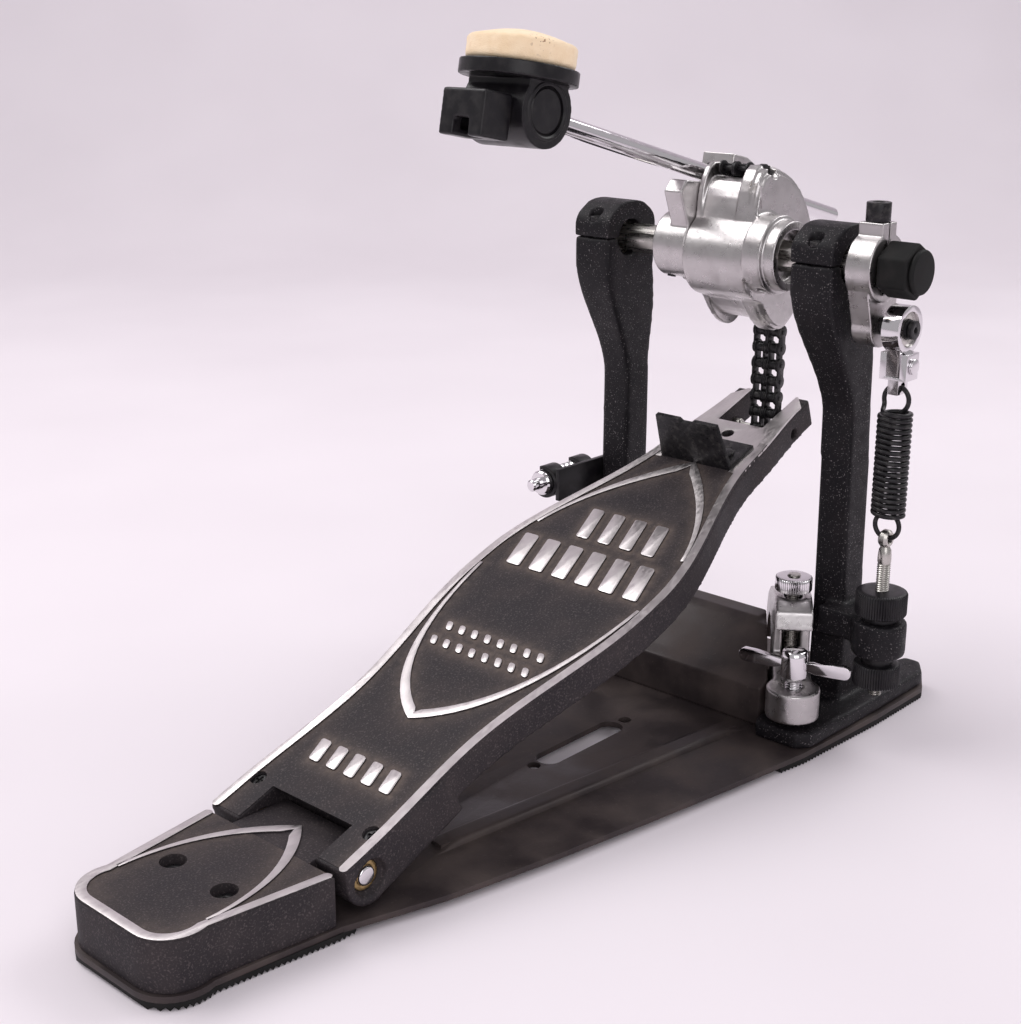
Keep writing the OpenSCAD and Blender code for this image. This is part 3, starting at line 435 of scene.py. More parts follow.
def skin(node, width, segments=2):
    """The node's shape with rounded edges."""
    piece = add(node + "_skin", cad_mesh(node), BODY_OF[node], SLOT_OF[node])
    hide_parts(node)
    bevelled(piece, width, segments)


def casting(node, voxel, passes):
    """The node's shape as a soft casting."""
    piece = add(node + "_skin", cad_mesh(node), BODY_OF[node], SLOT_OF[node])
    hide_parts(node)
    cast(piece, voxel, passes)


def loft(rings, caps=True):
    """Surface through rings of the same number of points."""
    bm = bmesh.new()
    rows = [[bm.verts.new(point) for point in ring] for ring in rings]
    count = len(rings[0])
    for near, far in zip(rows, rows[1:]):
        for i in range(count):
            j = (i + 1) % count
            bm.faces.new((near[i], near[j], far[j], far[i]))
    if caps:
        bm.faces.new(rows[0][::-1])
        bm.faces.new(rows[-1])
    bmesh.ops.remove_doubles(bm, verts=bm.verts, dist=0.0005)
    bmesh.ops.recalc_face_normals(bm, faces=bm.faces)
    return bm


def plain_radius(radius, _angle, _height):
    return radius


def lathe(profile, steps=64, shape=plain_radius, caps=True):
    """Solid of revolution about Z from (radius, height) points; shape bends the radius."""
    rings = []
    for radius, height in profile:
        ring = []
        for i in range(steps):
            angle = 2 * math.pi * i / steps
            r = shape(radius, angle, height)
            ring.append(Vector((r * math.cos(angle), r * math.sin(angle), height)))
        rings.append(ring)
    return loft(rings, caps=caps)


def sweep(path, section, up):
    """Section of (side, up) points carried along a path without twist."""
    top = Vector(up)
    rings = []
    for i, point in enumerate(path):
        before = path[max(i - 1, 0)]
        after = path[min(i + 1, len(path) - 1)]
        along = (after - before).normalized()
        top = (top - along * top.dot(along)).normalized()
        side = along.cross(top)
        rings.append([point + side * u + top * v for u, v in section])
    return loft(rings)


def disc(radius, count):
    """Points round a circle, the first one not repeated."""
    return [(radius * math.cos(a), radius * math.sin(a))
            for a in (2 * math.pi * i / count for i in range(count))]


def prism(outline, z0, z1, holes=()):
    """Straight-sided solid over an outline. Its sides carry the second paint."""
    bm = bmesh.new()
    loops = [list(outline), *map(list, holes)]
    flat = [point for loop in loops for point in loop]
    bottom = [bm.verts.new((x, y, z0)) for x, y in flat]
    top = [bm.verts.new((x, y, z1)) for x, y in flat]
    for a, b, c in geometry.tessellate_polygon([[Vector((x, y, 0)) for x, y in loop] for loop in loops]):
        bm.faces.new((top[a], top[b], top[c]))
        bm.faces.new((bottom[c], bottom[b], bottom[a]))
    start = 0
    for loop in loops:
        count = len(loop)
        for i in range(count):
            a, b = start + i, start + (i + 1) % count
            side = bm.faces.new((bottom[a], bottom[b], top[b], top[a]))
            side.material_index = 1
        start += count
    bmesh.ops.dissolve_limit(bm, angle_limit=0.01, verts=bm.verts, edges=bm.edges,
                             delimit={"MATERIAL"})
    bmesh.ops.recalc_face_normals(bm, faces=bm.faces)
    return bm


def arc(cx, cy, radius, start, end, steps):
    """Points on an arc, with angles in degrees."""
    angles = [math.radians(start + (end - start) * i / steps) for i in range(steps + 1)]
    return [(cx + radius * math.cos(a), cy + radius * math.sin(a)) for a in angles]


def hole(x, y, radius):
    """Points round a hole, the first one not repeated."""
    return arc(x, y, radius, 360, 15, 23)


def mirrored(points):
    """The points on the other side of the middle plane, in reverse order."""
    return [(x, -y) for x, y in reversed(points)]


def joined(parts):
    """Several meshes as one."""
    bm = bmesh.new()
    scratch = bpy.data.meshes.new("scratch")
    for part in parts:
        part.to_mesh(scratch)
        part.free()
        bm.from_mesh(scratch)
    bpy.data.meshes.remove(scratch)
    return bm


def block(x0, x1, y0, y1, z0, z1):
    return prism([(x0, y0), (x1, y0), (x1, y1), (x0, y1)], z0, z1)


# --- footboard ------------------------------------------------------------------------------------
def smooth(t):
    return t * t * (3 - 2 * t)


def ramp(s, start, end):
    return smooth(min(1, max(0, (s - start) / (end - start))))


def half_width(s):
    """Half the footboard's width at s along it."""
    hood = 13.3 * ramp(s, 70, 168) - 24.5 * ramp(s, 178, 288)
    return 39 - 2.3 * ramp(s, 15, 68) + hood - 5 * ramp(s, 280, 334)


def bezier(start, control, end, steps):
    """Quadratic curve between two points of a plane."""
    points = []
    for i in range(steps + 1):
        t = i / steps
        a, b, c = (1 - t) ** 2, 2 * t * (1 - t), t * t
        points.append(Vector((a * start[0] + b * control[0] + c * end[0],
                              a * start[1] + b * control[1] + c * end[1])))
    return points


def arch(apex, control, end, wide, narrow):
    """Outline of a pointed arch: two arms that taper from the apex to their ends."""
    arm = bezier((apex, 0), control, end, 18)
    inward = 1 if end[0] > apex else -1
    inner = []
    for i, point in enumerate(arm):
        after = arm[min(i + 1, len(arm) - 1)]
        before = arm[max(i - 1, 0)]
        along = (after - before).normalized()
        width = wide + (narrow - wide) * smooth(i / (len(arm) - 1))
        inner.append(point + Vector((along.y, -along.x)) * width * inward)
    inner[0] = Vector((inner[1].x - (inner[2].x - inner[1].x) * 0.9, 0))
    inner = [p for i, p in enumerate(inner) if i == 0 or p.y > 0.3]
    near = [tuple(p) for p in arm[1:]] + [tuple(p) for p in reversed(inner[1:])]
    return [tuple(arm[0])] + near + [(inner[0].x, 0)] + mirrored(near)


LOWER_ARCH = arch(73.5, (93, 39), (168.5, 45.5), 4.9, 1.7)
UPPER_ARCH = arch(272.5, (243, 32.5), (204.5, 42), 4.9, 1.7)
HEEL_ARCH = arch(-254, (-276, 27), (-318, 27), 4.6, 1.6)
RAISED = 0.9
RAISED_PAINTS = [PAINT["trim"], PAINT["board_casting"]]


def slanted_bar(s, y, along, across, lean, corner=1.3):
    """Outline of a slanted bar with rounded corners."""
    points = []
    for side_s, side_y, start in ((1, 1, 0), (-1, 1, 90), (-1, -1, 180), (1, -1, 270)):
        middle = (side_s * (along / 2 - corner), side_y * (across / 2 - corner))
        points += arc(*middle, corner, start, start + 90, 3)
    return [(s + ps, y + py + lean * ps) for ps, py in points]


def grip_bars():
    """Plain raised bars in place of the lettering, each (s, y, along, across, lean)."""
    bars = [(212, -21 + 12.2 * i, 21, 6.8, 0.28) for i in range(4)]
    bars += [(184, -33 + 13.2 * i, 22, 8.0, 0.28) for i in range(6)]
    bars += [(126.5 - 10 * row, -26 + 7.4 * i, 5.0, 3.4, 0.5) for row in range(2) for i in range(8)]
    bars += [(43, -20 + 10 * i, 11.5, 5.8, 0.28) for i in range(5)]
    return bars


GRIP_BARS = grip_bars()


def bar_distance(s, y, bar):
    """Distance from a point to a grip bar."""
    bar_s, bar_y, along, across, lean = bar
    off_s = max(abs(s - bar_s) - along / 2, 0)
    off_y = max(abs(y - bar_y - lean * (s - bar_s)) - across / 2, 0)
    return math.hypot(off_s, off_y)


def line_distance(point, outline):
    """Distance from a point to the nearest corner of an outline."""
    return min((point - Vector(corner)).length for corner in outline)


def board_dust(s, y):
    """How dusty the footboard is at a point: most beside raised marks and rims."""
    point = Vector((s, y))
    rim = half_width(s) - 4.2 - abs(y)
    mark = min(line_distance(point, LOWER_ARCH), line_distance(point, UPPER_ARCH))
    bar = min(bar_distance(s, y, bar) for bar in GRIP_BARS)
    return max(0.6 * math.exp(-max(rim, 0) / 2.6), 0.75 * math.exp(-mark / 2.8), math.exp(-bar / 2.4))


def paint_dust(piece, dust, to_flat):
    """Stores the dustiness of each corner as an attribute."""
    layer = piece.data.attributes.new("dust", "FLOAT", "POINT")
    back = to_flat.inverted()
    for i, vertex in enumerate(piece.data.vertices):
        flat = back @ (vertex.co / MM)
        layer.data[i].value = dust(flat.x, flat.y)


TOE_PLATE_START = 293
TOE_HOLE_S = 299
SCREW_S, SCREW_Y = 20, 32.5
NOTCH_END, NOTCH_HALF = 19.5, 22.8
PANEL_GRID = 2.4


def gridded(bm, step):
    """Cuts the mesh along a grid, so that it can carry an attribute."""
    for axis in (0, 1):
        places = [v.co[axis] for v in bm.verts]
        start, end = min(places), max(places)
        count = int((end - start) / step)
        for i in range(1, count):
            spot = Vector((0, 0, 0))
            spot[axis] = start + (end - start) * i / count
            across = Vector((axis == 0, axis == 1, 0))
            everything = bm.verts[:] + bm.edges[:] + bm.faces[:]
            bmesh.ops.bisect_plane(bm, geom=everything, plane_co=spot, plane_no=across)
    return bm


def panel_outline():
    """Top of the footboard between the rims, round the notch for the heel block's tongue."""
    start = 1.5
    side = rim_line(3.2, start, TOE_PLATE_START, 90)
    notch = [(start, -NOTCH_HALF), (NOTCH_END, -NOTCH_HALF), (NOTCH_END, NOTCH_HALF),
             (start, NOTCH_HALF)]
    return side + mirrored(side) + notch


def sandy_panel(name, sheet, body, place, dust):
    """Panel in the black of the board, which stores how dusty it is."""
    bm = gridded(sheet, PANEL_GRID)
    for face in bm.faces:
        face.material_index = 0
    piece = add(name, bm, body, "board_casting", place)
    paint_dust(piece, dust, place)


def board_panel():
    """Sandy top of the footboard between the rims, with dust beside the raised marks."""
    holes = [hole(SCREW_S, side * SCREW_Y, 3.5) for side in (1, -1)]
    sheet = prism(panel_outline(), -0.18, 0.22, holes)
    sandy_panel("footboard_panel", sheet, "footboard", ON_BOARD, board_dust)


def rim_line(inset, s0, s1, steps):
    """Line along the footboard's left edge, this far inside it."""
    points = []
    for i in range(steps + 1):
        s = s0 + (s1 - s0) * i / steps
        points.append((s, half_width(s) - inset))
    return points


def board_rims():
    """Bare rims along both edges of the footboard."""
    for side, name in ((1, "left_rim"), (-1, "right_rim")):
        outer = rim_line(0.15, 2.2, TOE_PLATE_START + 3, 70)
        inner = rim_line(4.3, 2.2, TOE_PLATE_START + 3, 70)
        start = arc(2.2, half_width(0) - 2.2, 2.05, 250, 110, 6)
        outline = start + outer[1:] + inner[::-1][:-1]
        outline = [(s, side * y) for s, y in outline]
        bm = prism(outline, -0.6, RAISED)
        piece = add("footboard_" + name, bm, "footboard", "board_casting", ON_BOARD, RAISED_PAINTS)
        bevelled(piece, 0.3)


def toe_plate():
    """Bare machined face round the fork at the toe."""
    tip = BOARD_LENGTH - 0.4
    fork_start, fork_half = BOARD_LENGTH - 30, 13.2
    corner = 14.4
    shoulder_start = TOE_PLATE_START - 22
    side = rim_line(0.15, shoulder_start, tip - 7, 20)
    outline = [(s, -y) for s, y in side]
    outline += [(tip, -corner), (tip, -fork_half), (fork_start, -fork_half)]
    outline += [(fork_start, fork_half), (tip, fork_half), (tip, corner)]
    outline += side[::-1]
    shoulder = rim_line(7.5, shoulder_start, TOE_PLATE_START, 8)
    outline += shoulder + mirrored(shoulder)
    bm = prism(outline, -0.5, 0.45, [hole(TOE_HOLE_S, 0, 3.1)])
    piece = add("toe_plate_face", bm, "footboard", "board_casting", ON_BOARD,
                [PAINT["trim"], PAINT["trim"]])
    bevelled(piece, 0.25)


def raised_mark(name, outline, body, place, height=RAISED):
    """Low ridge with a bare top and black sides."""
    bm = prism(outline, -0.3, height)
    piece = add(name, bm, body, "board_casting", place, RAISED_PAINTS)
    bevelled(piece, 0.22)


def board_marks():
    """The two arches and the grip bars."""
    raised_mark("lower_arch", LOWER_ARCH, "footboard", ON_BOARD)
    raised_mark("upper_arch", UPPER_ARCH, "footboard", ON_BOARD)
    bars = joined([prism(slanted_bar(*bar), -0.3, RAISED) for bar in GRIP_BARS])
    piece = add("grip_bars", bars, "footboard", "board_casting", ON_BOARD, RAISED_PAINTS)
    bevelled(piece, 0.25)


def footboard():
    casting("footboard", 0.9, 5)
    board_panel()
    board_rims()
    toe_plate()
    board_marks()
    skin("footboard_fasteners", 0.25)
    skin("toe_stop", 0.5, 3)
    skin("toe_bolt", 0.3)
    skin("hinge_bushes", 0.3)


# --- heel -----------------------------------------------------------------------------------------
HEEL_HALF = 37
HEEL_FRONT = -270
HEEL_CORNER = (-325, 15)
HEEL_ROUND = 15.5
HEEL_RIM = 4.4
HEEL_RAISED = 0.8
HEEL_SCREW_X = -302
HEEL_SCREW_Y = 15


def heel_side(inset):
    """Left half of the heel's outline from its front corner to the middle of its back."""
    points = [(HEEL_FRONT, HEEL_HALF - inset)]
    points += arc(*HEEL_CORNER, HEEL_ROUND - inset, 72, 180, 14)
    return points


def heel_loop(inset):
    """The heel's whole outline, this far inside its edge."""
    half = heel_side(inset)
    return half + mirrored(half)


def heel_rim():
    """Bare U-shaped rim of the heel block, with rounded ends."""
    outer = heel_loop(0.3)
    inner = heel_loop(HEEL_RIM)
    end = arc(HEEL_FRONT - 1.8, -HEEL_HALF + 2.35, 2.05, -80, 80, 6)
    outline = outer[1:-1] + end + inner[::-1][1:-1] + mirrored(end)
    raised_mark("heel_rim", outline, "frame", ON_HEEL, HEEL_RAISED)


def heel_dust(x, y):
    """How dusty the heel is at a point: most beside its rim and its arch."""
    point = Vector((x, y))
    to_side = max(HEEL_HALF - 4 - abs(y), 0)
    rim = min(line_distance(point, heel_loop(HEEL_RIM)), to_side)
    near_arch = math.exp(-line_distance(point, HEEL_ARCH) / 5)
    return min(1, max(0.55 * near_arch, 0.55 * math.exp(-max(rim, 0) / 6)))


def heel_panel():
    """Sandy top of the heel block inside the rim."""
    holes = [hole(HEEL_SCREW_X, side * HEEL_SCREW_Y, 5.1) for side in (-1, 1)]
    sheet = prism(heel_loop(3.6), -0.4, 0.2, holes)
    sandy_panel("heel_panel", sheet, "frame", ON_HEEL, heel_dust)


def heel():
    skin("heel_block", 1.1, 3)
    heel_panel()
    heel_rim()
    raised_mark("heel_arch", HEEL_ARCH, "frame", ON_HEEL, HEEL_RAISED)
    skin("heel_screws", 0.35)
    skin("hinge_pin", 1.2, 3)


# --- base -----------------------------------------------------------------------------------------
def rib(side):
    """Pressed rib of the base plate, with run-out ends."""
    rings = []
    length, tall, half = 178, 2.45, 5.6
    for i in range(41):
        t = i / 40
        rise = tall * min(1, ramp(t, 0, 0.07), ramp(1 - t, 0, 0.07)) + 0.05
        ring = []
        for k in range(13):
            a = math.pi * k / 12
            across = half * math.cos(a)
            up = rise * min(1, 1.35 * math.sin(a))
            ring.append(Vector((-4 + length * t, 3.5 + across, up - 0.1)))
        rings.append(ring)
    bm = loft(rings)
    moved(bm, move(-205, 19, PLATE_TOP) @ turn(7.5, "Z"))
    if side < 0:
        moved(bm, Matrix.Scale(-1, 4, (0, 1, 0)))
        bmesh.ops.reverse_faces(bm, faces=bm.faces)
    return bm


# Depth of the ridges under the rubber
RIDGE = 1.5


def toothed_pad(x0, x1, inner, outer, pitch=2.3):
    """Rubber pad over a slab with V ridges across its underside."""
    count = round((x1 - x0) / pitch)
    step = (x1 - x0) / count
    thick = low("base_plate").z
    rings = []
    for i in range(count * 2 + 1):
        x = x0 + i * step / 2
        z = 0 if i % 2 else RIDGE
        y0, y1 = inner(x), outer(x)
        rings.append([(x, y0, z), (x, y1, z), (x, y1, thick), (x, y0, thick)])
    return loft(rings)


def interpolate(points, x):
    """Height of a polyline of rising x at this x."""
    if x <= points[0][0]:
        return points[0][1]
    for (x0, y0), (x1, y1) in zip(points, points[1:]):
        if x <= x1:
            return y0 + (y1 - y0) * (x - x0) / (x1 - x0)
    return points[-1][1]


HEEL_LIP = sorted(heel_side(-1.5))
FOOT_EDGE = [(-52, 81.5), (-37, 84), (20, 87), (62, 87), (76, 79)]


def lip_edge(x):
    return interpolate(HEEL_LIP, x)


def foot_edge(x):
    return interpolate(FOOT_EDGE, x)


def rubber_soles():
    """Ridged rubber under the heel, under both posts and under the middle."""
    heel_start = HEEL_CORNER[0] - HEEL_ROUND - 1.4
    foot_start, foot_end = FOOT_EDGE[0][0], FOOT_EDGE[-1][0]
    foot_inner, middle_half = 60, 34
    parts = [
        toothed_pad(heel_start, -262, lambda x: -lip_edge(x), lip_edge),
        toothed_pad(foot_start, foot_end, lambda x: foot_inner, foot_edge),
        toothed_pad(foot_start, foot_end, lambda x: -foot_edge(x), lambda x: -foot_inner),
        toothed_pad(-12, 62, lambda x: -middle_half, lambda x: middle_half),
    ]
    piece = add("rubber_soles", joined(parts), "frame", "rubber", sharp=20)
    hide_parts("rubber_feet")


def base():
    skin("base_plate", 0.6, 3)
    add("base_ribs", joined([rib(1), rib(-1)]), "frame", "stained_steel", sharp=60)
    rubber_soles()
    casting("cross_bridge", 0.8, 6)


# --- posts and shaft ------------------------------------------------------------------------------
def posts():
    casting("left_post", 0.8, 30)
    casting("right_post", 0.8, 30)
    casting("left_cap", 0.45, 22)
    casting("right_cap", 0.45, 22)
    skin("cap_screws", 0.35)
    for node in ("bearing_outer_rings", "bearing_inner_rings"):
        skin(node, 0.2)
    balls = add("bearing_balls_skin", cad_mesh("bearing_balls"), "frame", "plain_steel")
    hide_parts("bearing_balls")
    skin("drive_shaft", 0.35)
    skin("shaft_end_cap", 2.4, 5)


CAM_FACE = -25


def hub_marks():
    """Index line on the cam's face and the ticks round the shaft."""
    face_y = low("chain_cam").y
    parts = []
    for i in range(9):
        tick = block(12.6, 14.6, -0.3, 0.3, -0.2, 0.3)
        parts.append(moved(tick, turn(62 + 9 * i, "Z")))
    line = moved(block(20, 30, -0.45, 0.45, -0.2, 0.4), turn(98, "Z"))
    parts.append(moved(line, move(0, 0, face_y - CAM_FACE)))
    place = Matrix.Translation((SHAFT.x, face_y, SHAFT.z)) @ turn(90, "X")
    add("hub_scale_marks", joined(parts), "drive", "polished_aluminium", place)


def hub():
    casting("chain_cam", 0.5, 8)
    casting("beater_holder", 0.45, 8)
    hub_marks()
    skin("hub_screws", 0.2)
    skin("rod_insert", 0.6)
    rod_key_bolt()
    casting("rocker_arm", 0.4, 6)
    skin("rocker_screw", 0.35)
    skin("link_screw", 0.3)


# --- threads and knobs ----------------------------------------------------------------------------
def thread_shape(depth, pitch):
    """Radius of a single-start V thread."""
    def shape(radius, angle, height):
        turns = (height / pitch - angle / (2 * math.pi)) % 1
        return radius - depth * abs(2 * turns - 1)
    return shape


def threaded(radius, z0, z1, pitch=1.0, depth=0.5):
    """Threaded rod with short chamfered ends."""
    steps = round((z1 - z0) / (pitch / 6))
    profile = [(radius * 0.8, z0)]
    profile += [(radius, z0 + (z1 - z0) * i / steps) for i in range(1, steps)]
    profile += [(radius * 0.8, z1)]
    return lathe(profile, 36, thread_shape(depth, pitch))


def knurl_shape(teeth, depth):
    def shape(radius, angle, _height):
        return radius - depth * (0.5 - 0.5 * math.cos(teeth * angle))
    return shape


def knurled_knob(radius, z0, z1, bore, teeth, depth, rim=1.0):
    """Knob with a knurled edge, rounded rims and a bore."""
    shape = knurl_shape(teeth, depth)

    def only_edge(r, angle, height):
        return shape(r, angle, height) if r > radius - 0.55 * rim else r

    lower = [(radius - 2.2 * rim, z0), (radius - rim, z0 + 0.15), (radius - 0.35 * rim, z0 + 0.4 * rim),
             (radius, z0 + rim)]
    upper = [(r, z0 + z1 - z) for r, z in reversed(lower)]
    profile = [(bore, z0), *lower, *upper, (bore, z1), (bore, z0)]
    return lathe(profile, teeth * 6, only_edge, caps=False)


# Places along the rod, from the height of the shaft
KEY_U = -24
ROD_LOW = -118


def rod_key_bolt():
    """Square-headed key bolt that hangs under the boss and pinches the beater rod."""
    start, head = 4.1, 26
    shank = threaded(2.95, start, head, 0.9, 0.4)
    square = prism([(-2.8, -2.8), (2.8, -2.8), (2.8, 2.8), (-2.8, 2.8)], head, head + 8)
    place = ON_BEATER @ move(ROD_X, ROD_Y, KEY_U) @ turn(-90, "Y")
    piece = add("rod_key_bolt_skin", joined([shank, square]), "drive", "plain_steel", place)
    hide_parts("rod_key_bolt")
    bevelled(piece, 0.25, angle=60)


# Middle of the eye that carries the spring
EYE = Vector((3, -94, 98))


def eye_bolt():
    """Threaded bolt with a flattened eye for the spring."""
    shank = threaded(3.0, 24, 86.5)
    neck = [(2.6, 86.3), (3.0, 87.5), (3.0, 90), (2.7, 93), (1.6, 95)]
    stem = lathe(neck, 32)
    ring = lathe([(1.7, -1.2), (2.2, -2.1), (3.3, -2.1), (4.1, -1.0), (4.1, 1.0), (3.3, 2.1), (2.2, 2.1),
                  (1.7, 1.2), (1.7, -1.2)], 40, caps=False)
    moved(ring, move(0, 0, EYE.z) @ turn(90, "X"))
    bm = joined([shank, stem, ring])
    piece = add("eye_bolt_skin", bm, "frame", "plain_steel", move(EYE.x, EYE.y, 0))
    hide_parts("eye_bolt")


# Bore of the knobs and nuts on their threads of 3 mm radius
BORE = 3.06


def collar_ring(radius, z0, z1):
    """Plain ring with the bore of the eye bolt."""
    return lathe([(BORE, z0), (radius, z0), (radius, z1), (BORE, z1), (BORE, z0)], 48, caps=False)


def tension_knobs():
    """Knurled tension knob over its collar, and the lock nut under its neck."""
    place = move(EYE.x, EYE.y, 0)
    collar = collar_ring(8, 60.3, 62.6)
    knob = knurled_knob(11.45, 62.5, 74, BORE, 60, 0.42, 1.3)
    piece = add("tension_knob_skin", joined([collar, knob]), "tension_knob", "black_plastic", place)
    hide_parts("tension_knob")
    neck = collar_ring(7, 39.5, 43.7)
    nut = knurled_knob(10.45, 29, 40, BORE, 54, 0.42, 1.2)
    piece = add("lock_nut_skin", joined([neck, nut]), "lock_nut", "black_plastic", place)
    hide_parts("lock_nut")


# --- beater ---------------------------------------------------------------------------------------
def beater_rod():
    """Chromed rod with chamfered ends."""
    start, end = ROD_LOW, HEAD_U + 5
    radius = 4
    profile = [(0, start), (radius - 1, start), (radius, start + 1)]
    profile += [(radius, start + 1 + (end - start - 2) * i / 12) for i in range(1, 13)]
    profile += [(radius - 1, end), (0, end)]
    piece = add("beater_rod_skin", lathe(profile, 48, caps=False), "beater_rod", "bright_chrome",
                ON_BEATER @ move(ROD_X, ROD_Y, 0))
    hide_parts("beater_rod")


def ragged(radius, angle, height):
    """Soft unevenness of pressed felt."""
    place = Vector((radius * math.cos(angle), radius * math.sin(angle), height))
    return radius + 0.22 * noise.noise(place * 0.45) + 0.12 * noise.noise(place * 1.6)


def beater_pad():
    """Felt disc with a rounded rim and a domed face."""
    radius = 21.9
    side, crown = 8.6, 13.4
    profile = [(0, 0.1), (radius * 0.5, 0.1), (radius - 1.2, 0.1), (radius - 0.25, 0.9)]
    profile += [(radius, 0.9 + side * i / 8 - 0.9 * i / 8) for i in range(1, 8)]
    for i in range(1, 9):
        angle = math.radians(11.25 * i * 0.9)
        profile.append((radius - 2.4 + 2.4 * math.cos(angle), side - 0.9 + 2.0 * math.sin(angle)))
    last_r, last_z = profile[-1]
    for i in range(1, 13):
        t = i / 12
        profile.append((last_r * (1 - t), last_z + (crown - last_z) * math.sin(t * math.pi / 2)))
    bm = lathe(profile, 120, ragged, caps=False)
    place = ON_HEAD @ turn(90, "Y") @ move(-1, 0, 16.85)
    piece = add("beater_pad_felt", bm, "beater_head", "felt", place, sharp=80)
    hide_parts("beater_pad")


def barrel_lips():
    """Raised lips round the recessed discs at both ends of the swivel barrel."""
    parts = []
    for side in (-1, 1):
        ring = lathe([(9.6, 0), (10.3, 0.5), (11.2, 0.5), (11.9, 0), (9.6, 0)], 64, caps=False)
        parts.append(moved(ring, move(0, side * 16.4, 0) @ turn(-90 * side, "X")))
        plug = lathe([(0, 0), (8.4, 0), (9.0, -0.6), (0, -0.6)], 48, caps=False)
        parts.append(moved(plug, move(0, side * 16.0, 0) @ turn(-90 * side, "X")))
    add("barrel_lips", joined(parts), "beater_head", "black_plastic", ON_HEAD)


def beater():
    beater_rod()
    skin("swivel_barrel", 0.5)
    casting("beater_body", 0.45, 6)
    barrel_lips()
    beater_pad()
    casting("head_weight", 0.5, 34)


# --- chain ----------------------------------------------------------------------------------------
def chain():
    for node in sorted(frame["nodes"]):
        if node.startswith("chain_") and node != "chain_cam":
            skin(node, 0.18)


# --- return spring --------------------------------------------------------------------------------
WIRE = 1.06
COILS = 20
COIL_LOW, COIL_HIGH = 108.2, 155.6
LOOP = 6.0
HOOK_Z = 166.6


def relaxed(path, times):
    """The path with its corners eased; its ends stay."""
    for _ in range(times):
        inner = [(a + b * 2 + c) / 4 for a, b, c in zip(path, path[1:], path[2:])]
        path = [path[0], *inner, path[-1]]
    return path


def spring_path():
    """Bottom loop through the eye, the coils, and the top loop through the hook."""
    radius = 8 - WIRE
    path = []
    low_centre = EYE.z + LOOP
    for i in range(41):
        a = math.radians(70 - 290 * i / 40)
        path.append(Vector((0, -LOOP * math.cos(a), low_centre + LOOP * math.sin(a))))
    turns = COILS * 32
    for i in range(4, turns - 3):
        a = math.radians(180 + 90) + 2 * math.pi * i / 32
        z = COIL_LOW + (COIL_HIGH - COIL_LOW) * i / turns
        path.append(Vector((radius * math.cos(a), -radius * math.sin(a), z)))
    high_centre = HOOK_Z - LOOP
    for i in range(41):
        a = math.radians(-40 + 290 * i / 40)
        path.append(Vector((0, LOOP * math.cos(a), high_centre + LOOP * math.sin(a))))
    return relaxed(path, 6)


def return_spring():
    """One wire: hook loop, coils and hook loop."""
    bm = moved(sweep(spring_path(), disc(WIRE, 10), (1, 0, 0)), move(EYE.x, EYE.y, 0))
    piece = new_object("return_spring_wire", bm, MM)
    piece.data.materials.append(PAINT["black_steel"])
    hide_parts("return_spring", "spring_top_loop")
    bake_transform(piece)


def spring_gear():
    eye_bolt()
    tension_knobs()
    return_spring()
    skin("link_ring", 0.6, 3)
    skin("link_bearing", 0.3)
    skin("spring_hook", 0.6, 3)
    skin("hook_screw", 0.4)


# --- hoop clamp -----------------------------------------------------------------------------------
WING_Z = 39


def wing_outline():
    """Side view of one wing, from the stem outwards."""
    tip = arc(23, 4.4, 3, -80, 80, 8)
    return [(4.5, 2.2), (10, 1.2), (18, 1.2)] + tip + [(18, 7.2), (10, 6.2), (4.5, 5.4)]


def wing_bolt():
    """Plated wing bolt: threaded shank, stem with a domed top, and two flat wings."""
    shank = threaded(3.95, low("wing_bolt").z, WING_Z - 5, 1.2, 0.6)
    profile = [(0, -5.2), (5.0, -5.2), (5.6, -4.4), (5.9, -3), (5.9, 6.5), (5.5, 8.1), (4.6, 8.8),
               (0, 8.95)]
    stem = moved(lathe(profile, 48, caps=False), move(0, 0, WING_Z))
    parts = [shank, stem]
    for side in (0, 180):
        wing = moved(prism(wing_outline(), -1.5, 1.5), turn(90, "X"))
        parts.append(moved(wing, turn(68 + side, "Z") @ move(0, 0, WING_Z - 2)))
    piece = add("wing_bolt_skin", joined(parts), "wing_bolt", "bright_chrome", ON_CLAMP)
    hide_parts("wing_bolt")
    bevelled(piece, 0.5, 3, angle=50)


def clamp():
    casting("clamp_arm", 0.55, 10)
    wing_bolt()
    stud = PIVOT["clamp_nut_turn"]
    bm = threaded(3.0, PLATE_TOP, high("clamp_stud").z)
    piece = add("clamp_stud_skin", bm, "frame", "plain_steel", move(stud.x, stud.y, 0))
    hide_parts("clamp_stud")
    z0, z1 = low("clamp_nut").z, high("clamp_nut").z
    nut = knurled_knob(8.5, z0, z1, BORE, 48, 0.4, 0.8)
    piece = add("clamp_nut_skin", nut, "clamp_nut", "bright_chrome", move(stud.x, stud.y, 0))
    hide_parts("clamp_nut")


# --- drum key -------------------------------------------------------------------------------------
def drum_key():
    """Ribbed barrel of the stored key, its slim tip and its socket."""
    centre = (low("drum_key") + high("drum_key")) / 2
    start = low("drum_key").x
    profile = [(0, 0), (2.2, 0), (3.0, 0.7), (3.0, 6.2), (5.4, 6.4), (6.1, 7.4)]
    for i in range(6):
        x = 8.5 + 3.6 * i
        profile += [(6.15, x), (6.15, x + 1.2), (5.2, x + 1.9), (5.2, x + 2.9), (6.15, x + 3.6)]
    profile += [(6.15, 39), (5.6, 39.9), (3.7, 40), (3.7, 33), (0, 33)]
    bm = lathe(profile, 56, caps=False)
    place = Matrix.Translation((start, centre.y, centre.z)) @ turn(90, "Y")
    piece = add("drum_key_skin", bm, "drum_key", "bright_chrome", place)
    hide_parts("drum_key")
    skin("key_clip", 0.4)


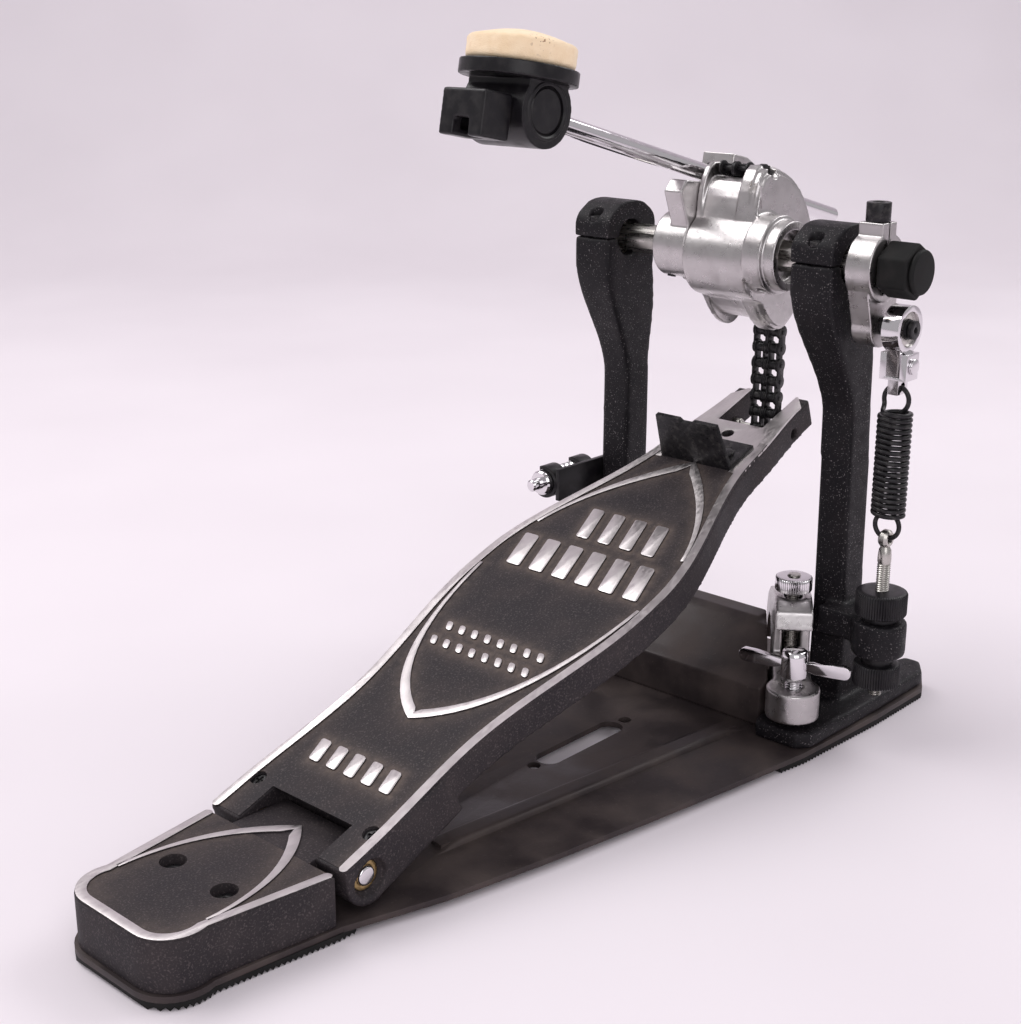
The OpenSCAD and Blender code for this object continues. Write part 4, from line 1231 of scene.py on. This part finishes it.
# --- studio ---------------------------------------------------------------------------------------
def floor():
    """Seamless pale sweep, far wider than the pedal. It is drawn in metres."""
    near_end, bend, radius, top = -1.6, 1.2, 0.8, 3.0
    half = 3.0
    profile = [(near_end, 0.0), (bend, 0.0)]
    for i in range(1, 17):
        a = math.radians(90 * i / 16)
        profile.append((bend + radius * math.sin(a), radius * (1 - math.cos(a))))
    profile.append((bend + radius, top))
    heading = math.radians(43)
    bm = bmesh.new()
    rows = []
    for along, height in profile:
        row = []
        for across in (-half, half):
            x = along * math.cos(heading) - across * math.sin(heading)
            y = along * math.sin(heading) + across * math.cos(heading)
            row.append(bm.verts.new((x, y, height)))
        rows.append(row)
    for near, far in zip(rows, rows[1:]):
        bm.faces.new((near[0], near[1], far[1], far[0]))
    paint, tree, shader = new_paint("studio_paper", (0.86, 0.80, 0.85), 0.85)
    tone = between(tree, grain(tree, 240, 2.0), 0.3, 0.7, 0, 1)
    connect(tree, blend_colors(tree, tone, (0.87, 0.81, 0.86), (0.83, 0.77, 0.82)), shader, "Base Color")
    sweep_object = new_object("studio_sweep", bm)
    sweep_object.data.materials.append(paint)


def area_light(name, place, target, size, power, color=(1, 1, 1)):
    data = bpy.data.lights.new(name, "AREA")
    data.shape = "RECTANGLE"
    data.size, data.size_y = size
    data.energy = power
    data.color = color
    light = bpy.data.objects.new(name, data)
    light.location = place
    light.rotation_euler = (Vector(target) - Vector(place)).to_track_quat("-Z", "Y").to_euler()
    bpy.context.scene.collection.objects.link(light)


def lights():
    """Three soft area lights and an even world."""
    middle = (-0.1, 0.0, 0.12)
    area_light("key_light", (-0.5, 0.9, 1.5), middle, (1.4, 1.0), 15, (1.0, 0.985, 0.985))
    area_light("fill_light", (-1.1, -1.2, 0.9), middle, (1.2, 1.2), 8, (1.0, 0.98, 1.0))
    area_light("back_light", (1.1, -0.4, 1.3), middle, (1.2, 0.8), 9)
    world = bpy.data.worlds.new("studio_air")
    world.use_nodes = True
    background = world.node_tree.nodes["Background"]
    background.inputs["Color"].default_value = (0.93, 0.90, 0.93, 1)
    background.inputs["Strength"].default_value = 0.52
    bpy.context.scene.world = world
    bpy.context.scene.view_settings.view_transform = "Standard"


CAMERA_PLACE = (-0.598, -0.424, 0.324)
CAMERA_YAW = 42.65
CAMERA_DIP = 17.81
CAMERA_LENS = 56.41


def camera():
    """Camera behind the heel and to its right, looking slightly down at the posts."""
    data = bpy.data.cameras.new("camera")
    data.sensor_fit = "AUTO"
    data.sensor_width = 36
    data.lens = CAMERA_LENS
    camera_object = bpy.data.objects.new("camera", data)
    camera_object.location = CAMERA_PLACE
    turned = (math.radians(90 - CAMERA_DIP), 0, math.radians(CAMERA_YAW - 90))
    camera_object.rotation_euler = turned
    bpy.context.scene.collection.objects.link(camera_object)
    bpy.context.scene.camera = camera_object


footboard()
heel()
base()
posts()
hub()
beater()
chain()
spring_gear()
clamp()
drum_key()
floor()
lights()
camera()

bpy.context.view_layer.update()
